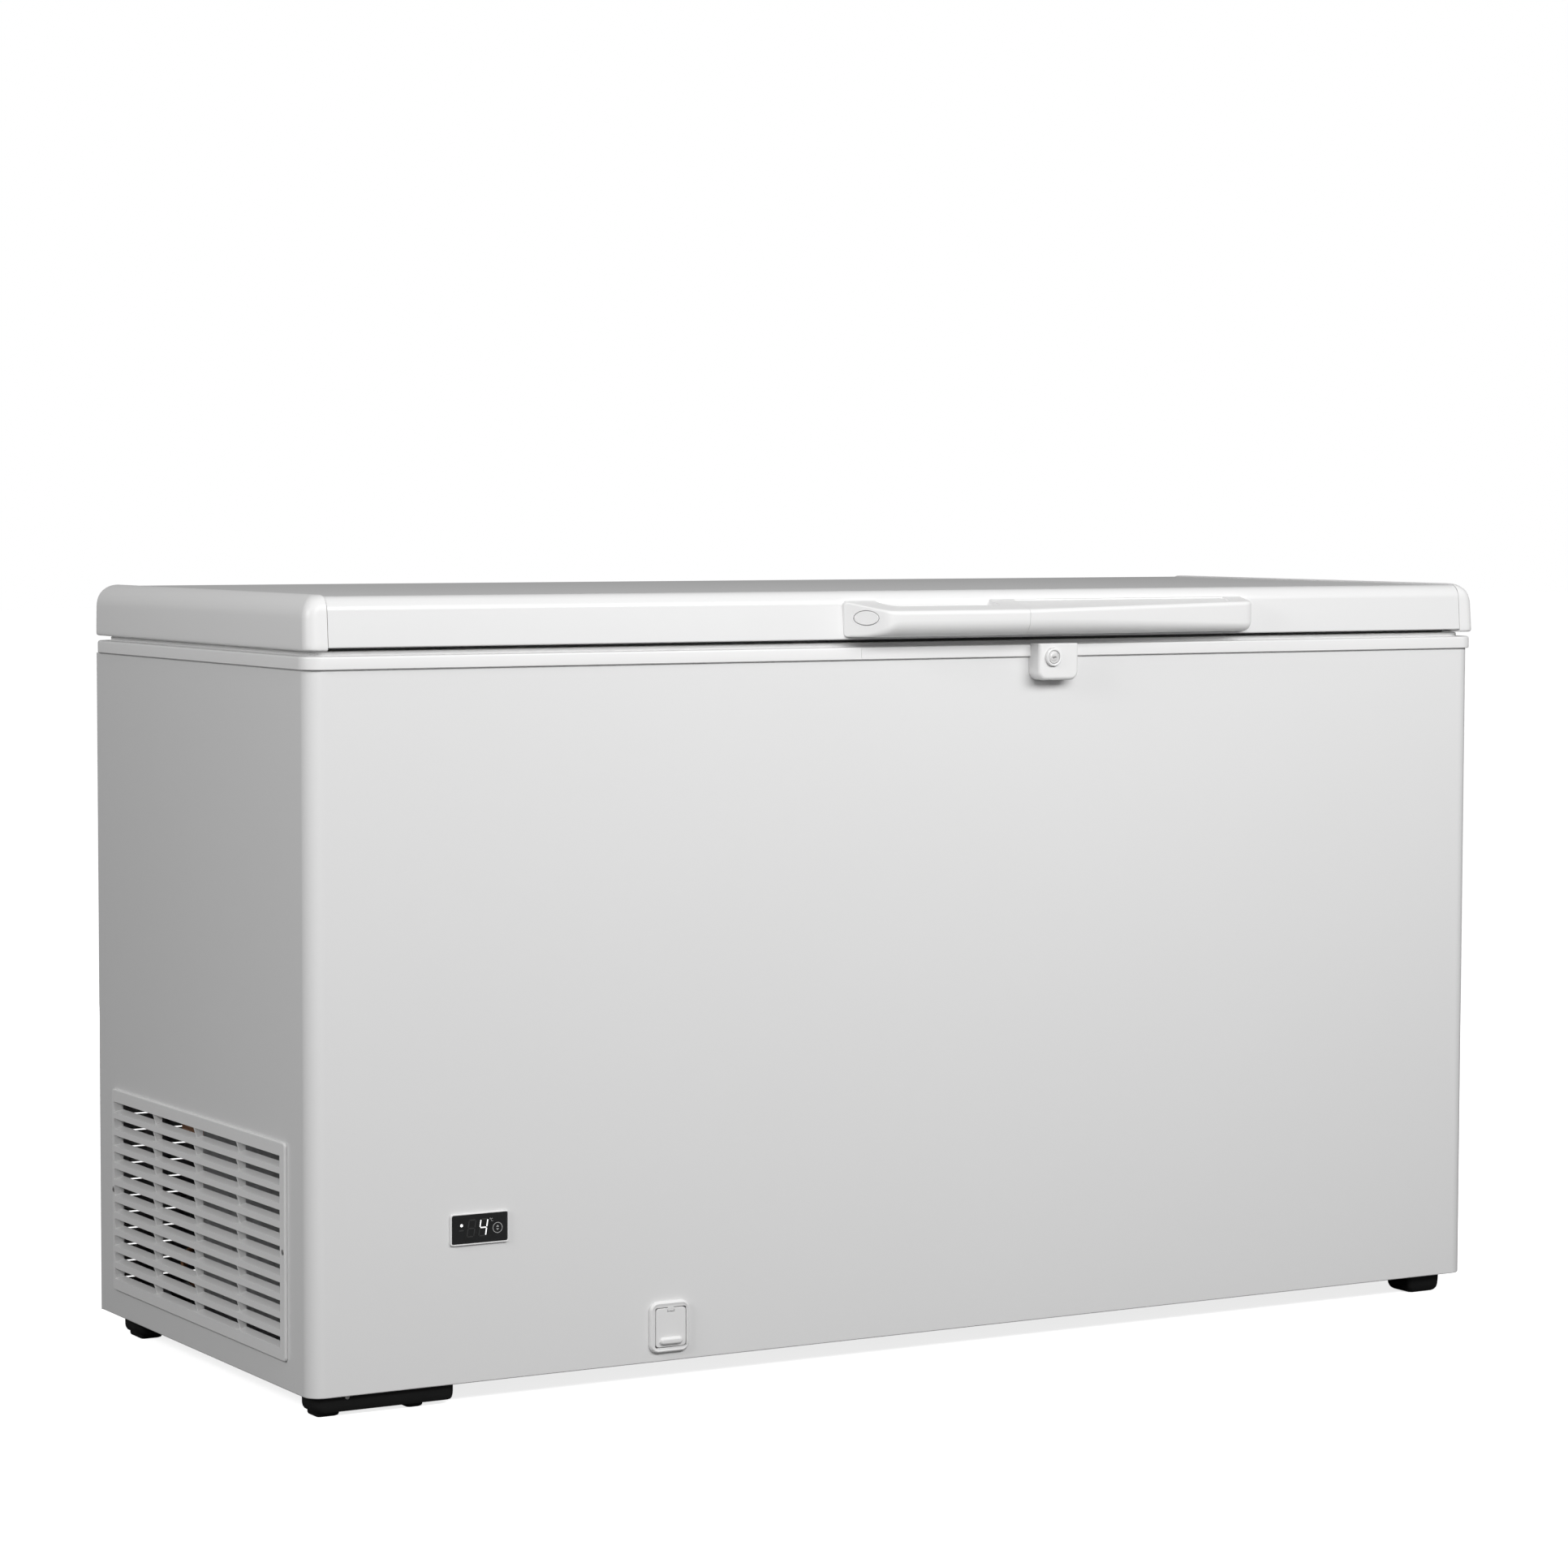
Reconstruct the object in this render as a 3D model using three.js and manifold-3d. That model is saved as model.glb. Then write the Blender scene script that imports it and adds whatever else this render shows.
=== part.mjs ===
// Commercial chest freezer with one hinged solid lid.
// Millimetres, +X to the right along the front, +Y to the rear, +Z up, floor at z = 0,
// origin under the centre of the cabinet.

import * as THREE from 'three';
import { mergeVertices } from 'three/addons/utils/BufferGeometryUtils.js';
import Module from 'manifold-3d';

const wasm = await Module();
wasm.setup();

// ---- driving dimensions -------------------------------------------------

const gap = 0.3;                 // clearance kept between touching pieces
const sheet = 1;                 // thickness of the painted steel sheet
const arcSteps = 5;              // segments in a quarter round

const halfWidth = 764;           // cabinet wrap, half of its width
const halfDepth = 294.5;         // cabinet wrap, half of its depth
const cabinetCorner = 18;        // plan radius of the wrap's front corners
const cabinetBottom = 22;        // lower edge of the wrap above the floor
const rimBottom = 782;           // lower edge of the plastic rim
const rimShoulder = 796;         // top of the rim's outer flange
const rimTop = 800.8;            // top of the raised sealing lip
const rimOverhang = 3.5;         // how far the rim stands out past the wrap
const lipInset = 13.4;           // flange width outside the raised lip
const rimInnerX = 703;           // mouth of the tank
const rimInnerY = 233.5;

const tankX = 706;               // inside of the aluminium tank
const tankY = 236.5;
const tankCorner = 22;
const tankFloor = 84;
const stepX = -417;              // wall of the step over the compressor bay
const stepFloor = 356;

const bayX = -472;               // inner wall of the compressor bay
const bayCeiling = 305;

const lidHalfX = 766.5;
const lidHalfY = 299;
const lidBottom = 804.5;         // lower edge of the steel lid skin
const lidTop = 858;
const lidLean = 4;               // the front face leans back by this much
const lidEdge = 15;              // radius of the lid's long upper edges
const capSeam = 742;             // where the end caps meet the skin
const capBottom = 801.5;
const capTop = 859.5;

const handleLeft = -122;
const handleRight = 425;
const handleReach = -339;        // front of the grip
const handleBottom = 807.5;
const handleTop = 847.5;
const handleSeam = 98;           // grip meets label cover

const lockX = 143.5;
const lockZ = 781.6;
const hingeX = 520;
const hingeY = 325;
const hingeZ = 800;
const hingeEar = 14;
const drainX = -338.2;
const drainTubeY = -190;
const drainTubeZ = 52;

// ---- materials ----------------------------------------------------------

function finish(color, roughness, metalness = 0) {
  return new THREE.MeshStandardMaterial({ color, roughness, metalness });
}

const whitePaint = finish(0xeeeeed, 0.35, 0.05);
const whitePlastic = finish(0xf1f1f0, 0.42);
const blackPlastic = finish(0x161617, 0.6);
const blackRubber = finish(0x1c1c1d, 0.85);
const greyRubber = finish(0x6e7173, 0.75);
const foam = finish(0xe3d9a4, 0.95);
const aluminium = finish(0xc4c7c9, 0.38, 0.9);
const galvanised = finish(0x9da1a3, 0.5, 0.8);
const copper = finish(0xb4683c, 0.35, 0.95);
const blackPaint = finish(0x1d1e20, 0.45, 0.1);
const darkGlass = finish(0x0b0c0e, 0.08);
const steel = finish(0xb9bcbe, 0.3, 0.95);
const screwSteel = finish(0xd7d8d8, 0.35, 0.9);

// ---- solids from three.js geometry --------------------------------------

function toSolid(geometry) {
  const plain = geometry.clone();
  plain.deleteAttribute('normal');
  plain.deleteAttribute('uv');
  const merged = mergeVertices(plain, 1e-4);
  const mesh = new wasm.Mesh({
    numProp: 3,
    vertProperties: new Float32Array(merged.attributes.position.array),
    triVerts: new Uint32Array(merged.index.array),
  });
  return new wasm.Manifold(mesh);
}

function toGeometry(solid) {
  const mesh = solid.getMesh();
  const geometry = new THREE.BufferGeometry();
  geometry.setAttribute('position', new THREE.BufferAttribute(mesh.vertProperties, 3));
  geometry.setIndex(new THREE.BufferAttribute(mesh.triVerts, 1));
  geometry.computeVertexNormals();
  return geometry;
}

function block(x0, x1, y0, y1, z0, z1) {
  const geometry = new THREE.BoxGeometry(x1 - x0, y1 - y0, z1 - z0);
  geometry.translate((x0 + x1) / 2, (y0 + y1) / 2, (z0 + z1) / 2);
  return toSolid(geometry);
}

// A rod along 'x', 'y' or 'z' that starts at from and is length long.
function rod(axis, radius, from, length, sides = 16) {
  const geometry = new THREE.CylinderGeometry(radius, radius, length, sides);
  geometry.translate(0, length / 2, 0);
  if (axis === 'x') geometry.rotateZ(-Math.PI / 2);
  if (axis === 'z') geometry.rotateX(Math.PI / 2);
  geometry.translate(from[0], from[1], from[2]);
  return toSolid(geometry);
}

function extrude(shape, depth, steps = arcSteps) {
  return new THREE.ExtrudeGeometry(shape, { depth, bevelEnabled: false, curveSegments: steps });
}

// Outline in X and Y, raised from z0 to z1.
function plate(shape, z0, z1) {
  const geometry = extrude(shape, z1 - z0);
  geometry.translate(0, 0, z0);
  return toSolid(geometry);
}

// Outline in Y and Z, swept from x0 to x1.
function alongX(shape, x0, x1) {
  const geometry = extrude(shape, x1 - x0);
  const turn = new THREE.Matrix4().makeBasis(
    new THREE.Vector3(0, 1, 0),
    new THREE.Vector3(0, 0, 1),
    new THREE.Vector3(1, 0, 0),
  );
  geometry.applyMatrix4(turn);
  geometry.translate(x0, 0, 0);
  return toSolid(geometry);
}

// Outline in X and Z, swept from y0 to y1.
function alongY(shape, y0, y1) {
  const geometry = extrude(shape, y1 - y0);
  geometry.rotateX(Math.PI / 2);
  geometry.translate(0, y1, 0);
  return toSolid(geometry);
}

function polygon(points) {
  return new THREE.Shape(points.map(([u, v]) => new THREE.Vector2(u, v)));
}

function roundedRect(u0, u1, v0, v1, radius) {
  const shape = new THREE.Shape();
  shape.moveTo(u0 + radius, v0);
  shape.lineTo(u1 - radius, v0);
  shape.absarc(u1 - radius, v0 + radius, radius, -Math.PI / 2, 0, false);
  shape.lineTo(u1, v1 - radius);
  shape.absarc(u1 - radius, v1 - radius, radius, 0, Math.PI / 2, false);
  shape.lineTo(u0 + radius, v1);
  shape.absarc(u0 + radius, v1 - radius, radius, Math.PI / 2, Math.PI, false);
  shape.lineTo(u0, v0 + radius);
  shape.absarc(u0 + radius, v0 + radius, radius, Math.PI, 1.5 * Math.PI, false);
  return shape;
}

function centredRect(halfX, halfY, radius) {
  return roundedRect(-halfX, halfX, -halfY, halfY, radius);
}

function tube(points, radius, sides = 8, steps = 10) {
  const path = new THREE.CatmullRomCurve3(points.map((p) => new THREE.Vector3(...p)), false, 'centripetal');
  const section = new THREE.Shape();
  section.absarc(0, 0, radius, 0, 2 * Math.PI, false);
  const geometry = new THREE.ExtrudeGeometry(section, {
    steps,
    bevelEnabled: false,
    extrudePath: path,
    curveSegments: sides,
  });
  return toSolid(geometry);
}

const freezer = new THREE.Group();
freezer.name = 'chest_freezer';
const cabinet = new THREE.Group();
const bay = new THREE.Group();
const lid = new THREE.Group();
freezer.add(cabinet, bay, lid);

function addPiece(group, name, solid, material) {
  const mesh = new THREE.Mesh(toGeometry(solid), material);
  mesh.name = name;
  group.add(mesh);
  return mesh;
}

// ---- cabinet shell ------------------------------------------------------

// The wrap is one sheet bent round the front corners and open at the rear.
function wrapOutline() {
  const outer = cabinetCorner;
  const inner = cabinetCorner - sheet;
  const rear = halfDepth - sheet - gap;
  const cornerX = halfWidth - outer;
  const cornerY = -halfDepth + outer;
  const shape = new THREE.Shape();
  shape.moveTo(-halfWidth, rear);
  shape.lineTo(-halfWidth, cornerY);
  shape.absarc(-cornerX, cornerY, outer, Math.PI, 1.5 * Math.PI, false);
  shape.lineTo(cornerX, -halfDepth);
  shape.absarc(cornerX, cornerY, outer, 1.5 * Math.PI, 2 * Math.PI, false);
  shape.lineTo(halfWidth, rear);
  shape.lineTo(halfWidth - sheet, rear);
  shape.lineTo(halfWidth - sheet, cornerY);
  shape.absarc(cornerX, cornerY, inner, 2 * Math.PI, 1.5 * Math.PI, true);
  shape.lineTo(-cornerX, -halfDepth + sheet);
  shape.absarc(-cornerX, cornerY, inner, 1.5 * Math.PI, Math.PI, true);
  shape.lineTo(-halfWidth + sheet, rear);
  return shape;
}

const grille = { y0: -237.5, y1: 250.5, z0: 52.4, z1: 284.6, proud: 3.3, depth: 12.6 };
const grilleCore = { y0: -229, y1: 247, z0: 61, z1: 274 };
const display = { x: -568.4, z: 187, halfX: 34.5, halfZ: 17 };
const drain = { halfX: 24.5, z0: 31.7, z1: 88.4, doorHalfX: 18.5, doorZ0: 38.3, doorZ1: 81.6 };
const wrapTop = 791;

function makeWrap() {
  return plate(wrapOutline(), cabinetBottom, wrapTop)
    .subtract(block(-halfWidth - 5, -halfWidth + 5, grilleCore.y0 - gap, grilleCore.y1 + gap,
      grilleCore.z0 - gap, grilleCore.z1 + gap))
    .subtract(block(-halfWidth - 5, halfWidth + 5, 270, 300, rimBottom - gap, wrapTop + 5))
    .subtract(block(display.x - 32, display.x + 32, -300, -290, display.z - 14.5, display.z + 14.5))
    .subtract(block(drainX - 21, drainX + 21, -300, -290, drain.doorZ0 - 3, drain.doorZ1 + 3));
}

addPiece(cabinet, 'cabinet_wrap', makeWrap(), whitePaint);

const vent = { x0: -748, x1: -486, z0: 44, z1: 292 };
const rearPanelSolid = block(-halfWidth, halfWidth, halfDepth - sheet, halfDepth,
  cabinetBottom, rimBottom - gap)
  .subtract(block(vent.x0, vent.x1, 280, 300, vent.z0, vent.z1));
addPiece(cabinet, 'rear_panel', rearPanelSolid, whitePaint);

const insideX = halfWidth - sheet - gap;
const insideY = halfDepth - sheet - 2 * gap;
const insideCorner = cabinetCorner - 0.5;
const baseZ0 = 23;
const baseZ1 = 24.2;

function makeBottomPanel() {
  let panel = plate(centredRect(insideX, insideY, insideCorner), baseZ0, baseZ1);
  for (let slot = 0; slot < 5; slot += 1) {
    const x = -720 + slot * 30;
    panel = panel.subtract(block(x, x + 12, -200, -20, 20, 30));
  }
  return panel;
}

addPiece(cabinet, 'bottom_panel', makeBottomPanel(), galvanised);

// Inside space of the tank, grown by extra on every wall: one deep pocket and one shallow.
function tankSpace(extra, top) {
  const radius = tankCorner + extra;
  const shallow = plate(centredRect(tankX + extra, tankY + extra, radius), stepFloor - extra, top);
  const deep = plate(centredRect(tankX + extra, tankY + extra, radius), tankFloor - extra, top);
  const overBay = block(-tankX - 50, stepX - extra, -halfDepth, halfDepth, 0, stepFloor - extra);
  return shallow.add(deep.subtract(overBay));
}

const linerTop = 794;
const foamTop = 793.2;
const drainBoreTop = rod('z', 9.6, [drainX, drainTubeY, drainTubeZ], 60);
const drainBoreFront = rod('y', 9.6, [drainX, -300, drainTubeZ], 300 + drainTubeY);

function makeFoam() {
  const body = plate(centredRect(insideX, insideY, insideCorner), baseZ1 + gap, foamTop);
  const baySpace = block(-800, bayX + gap, -320, 320, 0, bayCeiling + gap);
  const drainCup = block(drainX - 20.8, drainX + 20.8, -300, -270, drain.doorZ0 - 2.8, drain.doorZ1 + 2.8);
  return body
    .subtract(tankSpace(sheet + gap, foamTop + 10))
    .subtract(baySpace)
    .subtract(drainBoreTop)
    .subtract(drainBoreFront)
    .subtract(rod('z', 12, [drainX, drainTubeY, drainTubeZ - 12], 24))
    .subtract(drainCup);
}

addPiece(cabinet, 'insulation_foam', makeFoam(), foam);

// The tank is a folded pan (step shelf, riser and floor) with two bent sheets standing on it.
function linerPan(extra) {
  const under = 2 * sheet;
  const shelf = block(-halfWidth, stepX + extra, -halfDepth, halfDepth, stepFloor - under, stepFloor + extra);
  const riser = block(stepX - under, stepX + extra, -halfDepth, halfDepth, tankFloor - under, stepFloor);
  const floor = block(stepX - under, halfWidth, -halfDepth, halfDepth, tankFloor - under, tankFloor + extra);
  return shelf.add(riser).add(floor);
}

const linerShell = tankSpace(sheet, linerTop).subtract(tankSpace(0, linerTop + 10));
const linerSheets = linerShell.subtract(linerPan(gap));
const linerSeam = block(-halfWidth, halfWidth, -gap / 2, halfDepth, 0, rimTop);
const linerFloorSolid = linerShell
  .intersect(linerPan(0))
  .subtract(rod('z', 9.6, [drainX, drainTubeY, tankFloor - 5], 10));
addPiece(cabinet, 'liner_floor', linerFloorSolid, aluminium);
addPiece(cabinet, 'liner_front', linerSheets.subtract(linerSeam), aluminium);
addPiece(cabinet, 'liner_rear', linerSheets.intersect(linerSeam.translate([0, gap, 0])), aluminium);

const bayPanelSolid = block(-insideX, bayX, -insideY + 18, insideY - 18, bayCeiling - sheet, bayCeiling)
  .add(block(bayX - sheet, bayX, -insideY + 1, insideY - 1, baseZ1 + gap, bayCeiling));
addPiece(cabinet, 'bay_panel', bayPanelSolid, galvanised);

// ---- rim ----------------------------------------------------------------

function rimRing(inset, radius, z0, z1) {
  const outset = rimOverhang - inset;
  return plate(centredRect(halfWidth + outset, halfDepth + outset, radius), z0, z1);
}

function makeRim() {
  const wall = 2.5;
  const skirtBottom = 765;
  const skirtWall = 2.2;
  const skirtOutline = centredRect(rimInnerX + skirtWall, rimInnerY + skirtWall, tankCorner - 1);
  const skirt = plate(skirtOutline, skirtBottom, rimTop);
  const outer = rimRing(0, 20, rimBottom, rimShoulder)
    .add(rimRing(lipInset, 12, rimShoulder - 1, rimTop))
    .add(skirt);
  const hollow = rimRing(wall, 18, rimBottom - 5, foamTop + gap)
    .add(rimRing(lipInset + wall, 11, foamTop - 1, rimTop - wall))
    .subtract(skirt);
  const mouth = plate(centredRect(rimInnerX, rimInnerY, tankCorner - 3), 700, 900);
  return outer.subtract(hollow).subtract(mouth);
}

addPiece(cabinet, 'top_rim', makeRim(), whitePlastic);

// ---- side grille --------------------------------------------------------

const slotCount = 11;
const slotPitch = 19.2;
const slotHeight = 12.2;
const slotBottom = 65.8;
const slotRise = 2.9;            // the blades climb inwards by this much
const slotY0 = -225;
const slotY1 = 243.5;
const ribCount = 3;
const ribWidth = 3;
const grilleScrewZ = 168;
const grilleScrewY = [-231.5, 247];

function slotCutter(z, y0, y1, outerX, innerX) {
  const slope = slotRise / grille.depth;
  const face = -halfWidth - grille.proud;
  const rise = (x) => (x - face) * slope;
  return alongY(polygon([
    [outerX, z + rise(outerX)],
    [innerX, z + rise(innerX)],
    [innerX, z + slotHeight + rise(innerX)],
    [outerX, z + slotHeight + rise(outerX)],
  ]), y0, y1);
}

function makeGrille() {
  const face = -halfWidth - grille.proud;
  const back = face + grille.depth;
  const frameOutline = roundedRect(grille.y0, grille.y1, grille.z0, grille.z1, 5);
  let panel = alongX(frameOutline, face, -halfWidth - gap)
    .add(block(face + 1, back, grilleCore.y0, grilleCore.y1, grilleCore.z0, grilleCore.z1));
  const columnWidth = (slotY1 - slotY0 - ribCount * ribWidth) / (ribCount + 1);
  for (let slot = 0; slot < slotCount; slot += 1) {
    const z = slotBottom + slot * slotPitch;
    panel = panel.subtract(slotCutter(z, slotY0, slotY1, face - 2, face + 2.4));
    for (let column = 0; column <= ribCount; column += 1) {
      const y = slotY0 + column * (columnWidth + ribWidth);
      panel = panel.subtract(slotCutter(z, y, y + columnWidth, face - 2, back + 2));
    }
  }
  for (const y of grilleScrewY) {
    panel = panel.subtract(rod('x', 3.6, [face - 1, y, grilleScrewZ], 2.6, 12));
  }
  return panel;
}

addPiece(cabinet, 'side_grille', makeGrille(), whitePlastic);

['grille_screw_front', 'grille_screw_rear'].forEach((name, index) => {
  const screw = rod('x', 3.2, [0, 0, 0], 1.2, 12)
    .subtract(block(-1, 0.7, -0.45, 0.45, -2.2, 2.2))
    .subtract(block(-1, 0.7, -2.2, 2.2, -0.45, 0.45));
  const mesh = addPiece(cabinet, name, screw, screwSteel);
  mesh.position.set(-halfWidth - grille.proud + 0.1, grilleScrewY[index], grilleScrewZ);
});

// ---- temperature display ------------------------------------------------

const displayFace = -halfDepth - 2.3;
const bezelSolid = alongY(roundedRect(display.x - display.halfX, display.x + display.halfX,
  display.z - display.halfZ, display.z + display.halfZ, 3), displayFace, -halfDepth - gap)
  .add(block(display.x - 31.5, display.x + 31.5, -halfDepth - 1, -286, display.z - 14, display.z + 14))
  .subtract(block(display.x - 29.5, display.x + 29.5, -294, -280, display.z - 12, display.z + 12))
  .subtract(block(display.x - 33.5, display.x + 33.5, displayFace - 1, displayFace + 1.5,
    display.z - 16, display.z + 16));
addPiece(cabinet, 'display_bezel', bezelSolid, whitePlastic);

const glassSolid = alongY(roundedRect(display.x - 33.2, display.x + 33.2,
  display.z - 15.7, display.z + 15.7, 2), displayFace + 0.4, displayFace + 1.2);
addPiece(cabinet, 'display_glass', glassSolid, darkGlass);

const controllerSolid = block(display.x - 30, display.x + 30, -285.7, -246, display.z - 20, display.z + 20)
  .subtract(block(display.x - 28, display.x + 28, -290, -248, display.z - 18, display.z + 18));
addPiece(cabinet, 'controller_box', controllerSolid, blackPlastic);

// ---- drain --------------------------------------------------------------

const drainFace = -halfDepth - 4;
const doorPinZ = 79.6;
const doorPinY = drainFace + 1.6;
const lugHalf = 4;

function makeDrainPlate() {
  const mid = drainX - 0.9;
  const cupOuter = block(drainX - 20.5, drainX + 20.5, -halfDepth - 1, -270.3,
    drain.doorZ0 - 2.5, drain.doorZ1 + 2.5);
  const opening = block(drainX - drain.doorHalfX - gap, drainX + drain.doorHalfX + gap,
    -310, -272.3, drain.doorZ0 - gap, drain.doorZ1 + gap);
  const lug = block(drainX - lugHalf, drainX + lugHalf, drainFace, -halfDepth - gap,
    doorPinZ - 2, drain.doorZ1 + 1);
  const face = roundedRect(mid - drain.halfX, mid + drain.halfX, drain.z0, drain.z1, 10);
  return alongY(face, drainFace, -halfDepth - gap)
    .add(cupOuter)
    .subtract(opening)
    .add(lug)
    .subtract(rod('x', 1.3, [drainX - 10, doorPinY, doorPinZ], 20, 10))
    .subtract(rod('y', 9.4, [drainX, -280, drainTubeZ], 20));
}

addPiece(cabinet, 'drain_plate', makeDrainPlate(), whitePlastic);

function makeDrainDoor() {
  const thickness = 2.4;
  const top = doorPinZ + 1.2;
  const finger = alongX(polygon([
    [drainFace + 0.6, 43], [drainFace - 2.8, 45.5], [drainFace - 2.8, 46.5], [drainFace + 0.6, 49.5],
  ]), drainX - 13, drainX + 13);
  return alongY(roundedRect(drainX - drain.doorHalfX, drainX + drain.doorHalfX, drain.doorZ0, top, 1),
    drainFace + 0.4, drainFace + 0.4 + thickness)
    .add(finger)
    .subtract(block(drainX - lugHalf - gap, drainX + lugHalf + gap, -310, -290, doorPinZ - 3, top + 1))
    .add(rod('x', 1, [drainX - 8, doorPinY, doorPinZ], 16, 10));
}

addPiece(freezer, 'drain_door', makeDrainDoor(), whitePlastic);

function makeDrainTube() {
  const outer = rod('z', 9, [drainX, drainTubeY, drainTubeZ - 9], tankFloor + gap - drainTubeZ + 10)
    .add(rod('y', 9, [drainX, -281, drainTubeZ], 281 + drainTubeY))
    .add(rod('z', 16, [drainX, drainTubeY, tankFloor + gap], 1.6, 24));
  return outer
    .subtract(rod('z', 6, [drainX, drainTubeY, drainTubeZ], 60))
    .subtract(rod('y', 6, [drainX, -290, drainTubeZ], 290 + drainTubeY));
}

addPiece(cabinet, 'drain_tube', makeDrainTube(), whitePlastic);

const plugFloor = tankFloor + 2 * gap + 1.6;
const drainPlugSolid = rod('z', 13, [0, 0, 0], 3, 20)
  .add(rod('z', 5.6, [0, 0, -9], 10, 16))
  .add(block(-6, 6, -1.5, 1.5, 2, 10))
  .subtract(rod('y', 2.6, [0, -5, 6.2], 10, 12));
const drainPlug = addPiece(freezer, 'drain_plug', drainPlugSolid, blackRubber);
drainPlug.position.set(drainX, drainTubeY, plugFloor);

// ---- lock ---------------------------------------------------------------

const lockFace = -halfDepth - 21.5;
const lockBox = { x0: 125, x1: 179, z0: 755.4, z1: 797 };

function makeLockHousing() {
  const wall = 2.5;
  const shape = new THREE.Shape();
  const corner = 10;
  shape.moveTo(lockBox.x0, lockBox.z1);
  shape.lineTo(lockBox.x0, lockBox.z0 + corner);
  shape.absarc(lockBox.x0 + corner, lockBox.z0 + corner, corner, Math.PI, 1.5 * Math.PI, false);
  shape.lineTo(lockBox.x1 - corner, lockBox.z0);
  shape.absarc(lockBox.x1 - corner, lockBox.z0 + corner, corner, 1.5 * Math.PI, 2 * Math.PI, false);
  shape.lineTo(lockBox.x1, lockBox.z1);
  return alongY(shape, lockFace, -halfDepth - gap)
    .subtract(block(lockBox.x0 + wall, lockBox.x1 - wall, lockFace + wall, -280,
      lockBox.z0 + wall, lockBox.z1 - wall))
    .subtract(block(100, 200, -halfDepth - rimOverhang - gap, -280, rimBottom - gap, 810))
    .subtract(block(lockX - 6, lockX + 29, lockFace + 6, lockFace + 14, 785, 810))
    .subtract(rod('y', 10.8, [lockX, -330, lockZ], 20, 24));
}

addPiece(cabinet, 'lock_housing', makeLockHousing(), whitePlastic);

const ringSolid = rod('y', 10.5, [lockX, lockFace - 3.6, lockZ], 8, 24)
  .subtract(rod('y', 7.6, [lockX, -340, lockZ], 40, 24));
addPiece(cabinet, 'lock_ring', ringSolid, whitePlastic);

// Key plug and the tongue that swings up into the handle.
const tongueLength = 31;
const lockPlugSolid = rod('y', 7.2, [0, -3, 0], 10, 20)
  .subtract(block(-3.6, 3.6, -5, -1, -0.6, 0.6))
  .add(rod('y', 4, [0, 6, 0], 7, 12))
  .add(block(-5, tongueLength, 8, 11, -4, 4));
const lockPlug = addPiece(freezer, 'lock_plug', lockPlugSolid, steel);
lockPlug.position.set(lockX, lockFace, lockZ);

// ---- feet ---------------------------------------------------------------

const footTop = baseZ0 - gap;

function makeLeftFoot(y0, y1) {
  const barBottom = 5;
  return block(-758, -592, y0, y1, barBottom, footTop)
    .add(block(-751.5, -724.5, y0 + 6, y1 - 6, 0, barBottom + 1))
    .add(block(-648, -628, y0 + 6, y1 - 6, 0, barBottom + 1));
}

function makeRightFoot(y0, y1) {
  const taper = 6;
  return alongY(polygon([
    [688, footTop], [688 + taper, 0], [736 - taper, 0], [736, footTop],
  ]), y0, y1);
}

addPiece(cabinet, 'left_front_foot', makeLeftFoot(-288, -249), blackPlastic);
addPiece(cabinet, 'left_rear_foot', makeLeftFoot(199, 247), blackPlastic);
addPiece(cabinet, 'right_front_foot', makeRightFoot(-284, -238), blackPlastic);
addPiece(cabinet, 'right_rear_foot', makeRightFoot(201, 247), blackPlastic);

// ---- rear ---------------------------------------------------------------

function makeVentCover() {
  const y0 = halfDepth + gap;
  const margin = 8;
  let cover = block(vent.x0 - margin, vent.x1 + margin, y0, y0 + 3, vent.z0 - margin, vent.z1 + margin);
  for (let row = 0; row < 12; row += 1) {
    const z = vent.z0 + 12 + row * 19;
    for (const x of [vent.x0 + 10, (vent.x0 + vent.x1) / 2 + 6]) {
      cover = cover.subtract(block(x, x + 115, y0 - 1, y0 + 4, z, z + 9));
    }
  }
  return cover;
}

addPiece(cabinet, 'rear_vent_cover', makeVentCover(), galvanised);

const glandSolid = rod('y', 14, [0, 0, 0], 6, 6)
  .add(rod('y', 9.5, [0, 5, 0], 14, 16))
  .subtract(rod('y', 4.2, [0, 3, 0], 20, 12));
const gland = addPiece(cabinet, 'cable_gland', glandSolid, blackPlastic);
gland.position.set(-440, halfDepth + gap, 70);

// ---- hinges -------------------------------------------------------------

const pinRadius = 5;

function earOutline() {
  const shape = new THREE.Shape();
  shape.moveTo(297.6, 700);
  shape.lineTo(302, 698);
  shape.lineTo(hingeY + hingeEar, hingeZ - 22);
  shape.lineTo(hingeY + hingeEar, hingeZ);
  shape.absarc(hingeY, hingeZ, hingeEar, 0, Math.PI, false);
  shape.lineTo(hingeY - hingeEar, hingeZ - 8);
  shape.lineTo(300, 778);
  shape.lineTo(297.6, 778);
  return shape;
}

function makeHingeBase() {
  const back = halfDepth + gap;
  const bore = rod('x', pinRadius + gap, [-60, hingeY, hingeZ], 120, 16);
  return block(-38, 38, back, back + 3, 690, 778)
    .add(alongX(earOutline(), -26, -22))
    .add(alongX(earOutline(), 22, 26))
    .subtract(bore);
}

function makeHingeArm() {
  const y = lidHalfY + gap;
  const arm = new THREE.Shape();
  arm.moveTo(y + 1, 814);
  arm.lineTo(hingeY - 12, 806);
  arm.absarc(hingeY, hingeZ, 12, Math.PI, 2.5 * Math.PI, false);
  arm.lineTo(hingeY - 8, 818);
  arm.lineTo(y + 1, 832);
  return block(-40, 40, y, y + 3, 812, 848)
    .add(alongX(arm, -18, 18))
    .subtract(rod('x', pinRadius + gap, [-60, hingeY, hingeZ], 120, 16));
}

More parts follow.
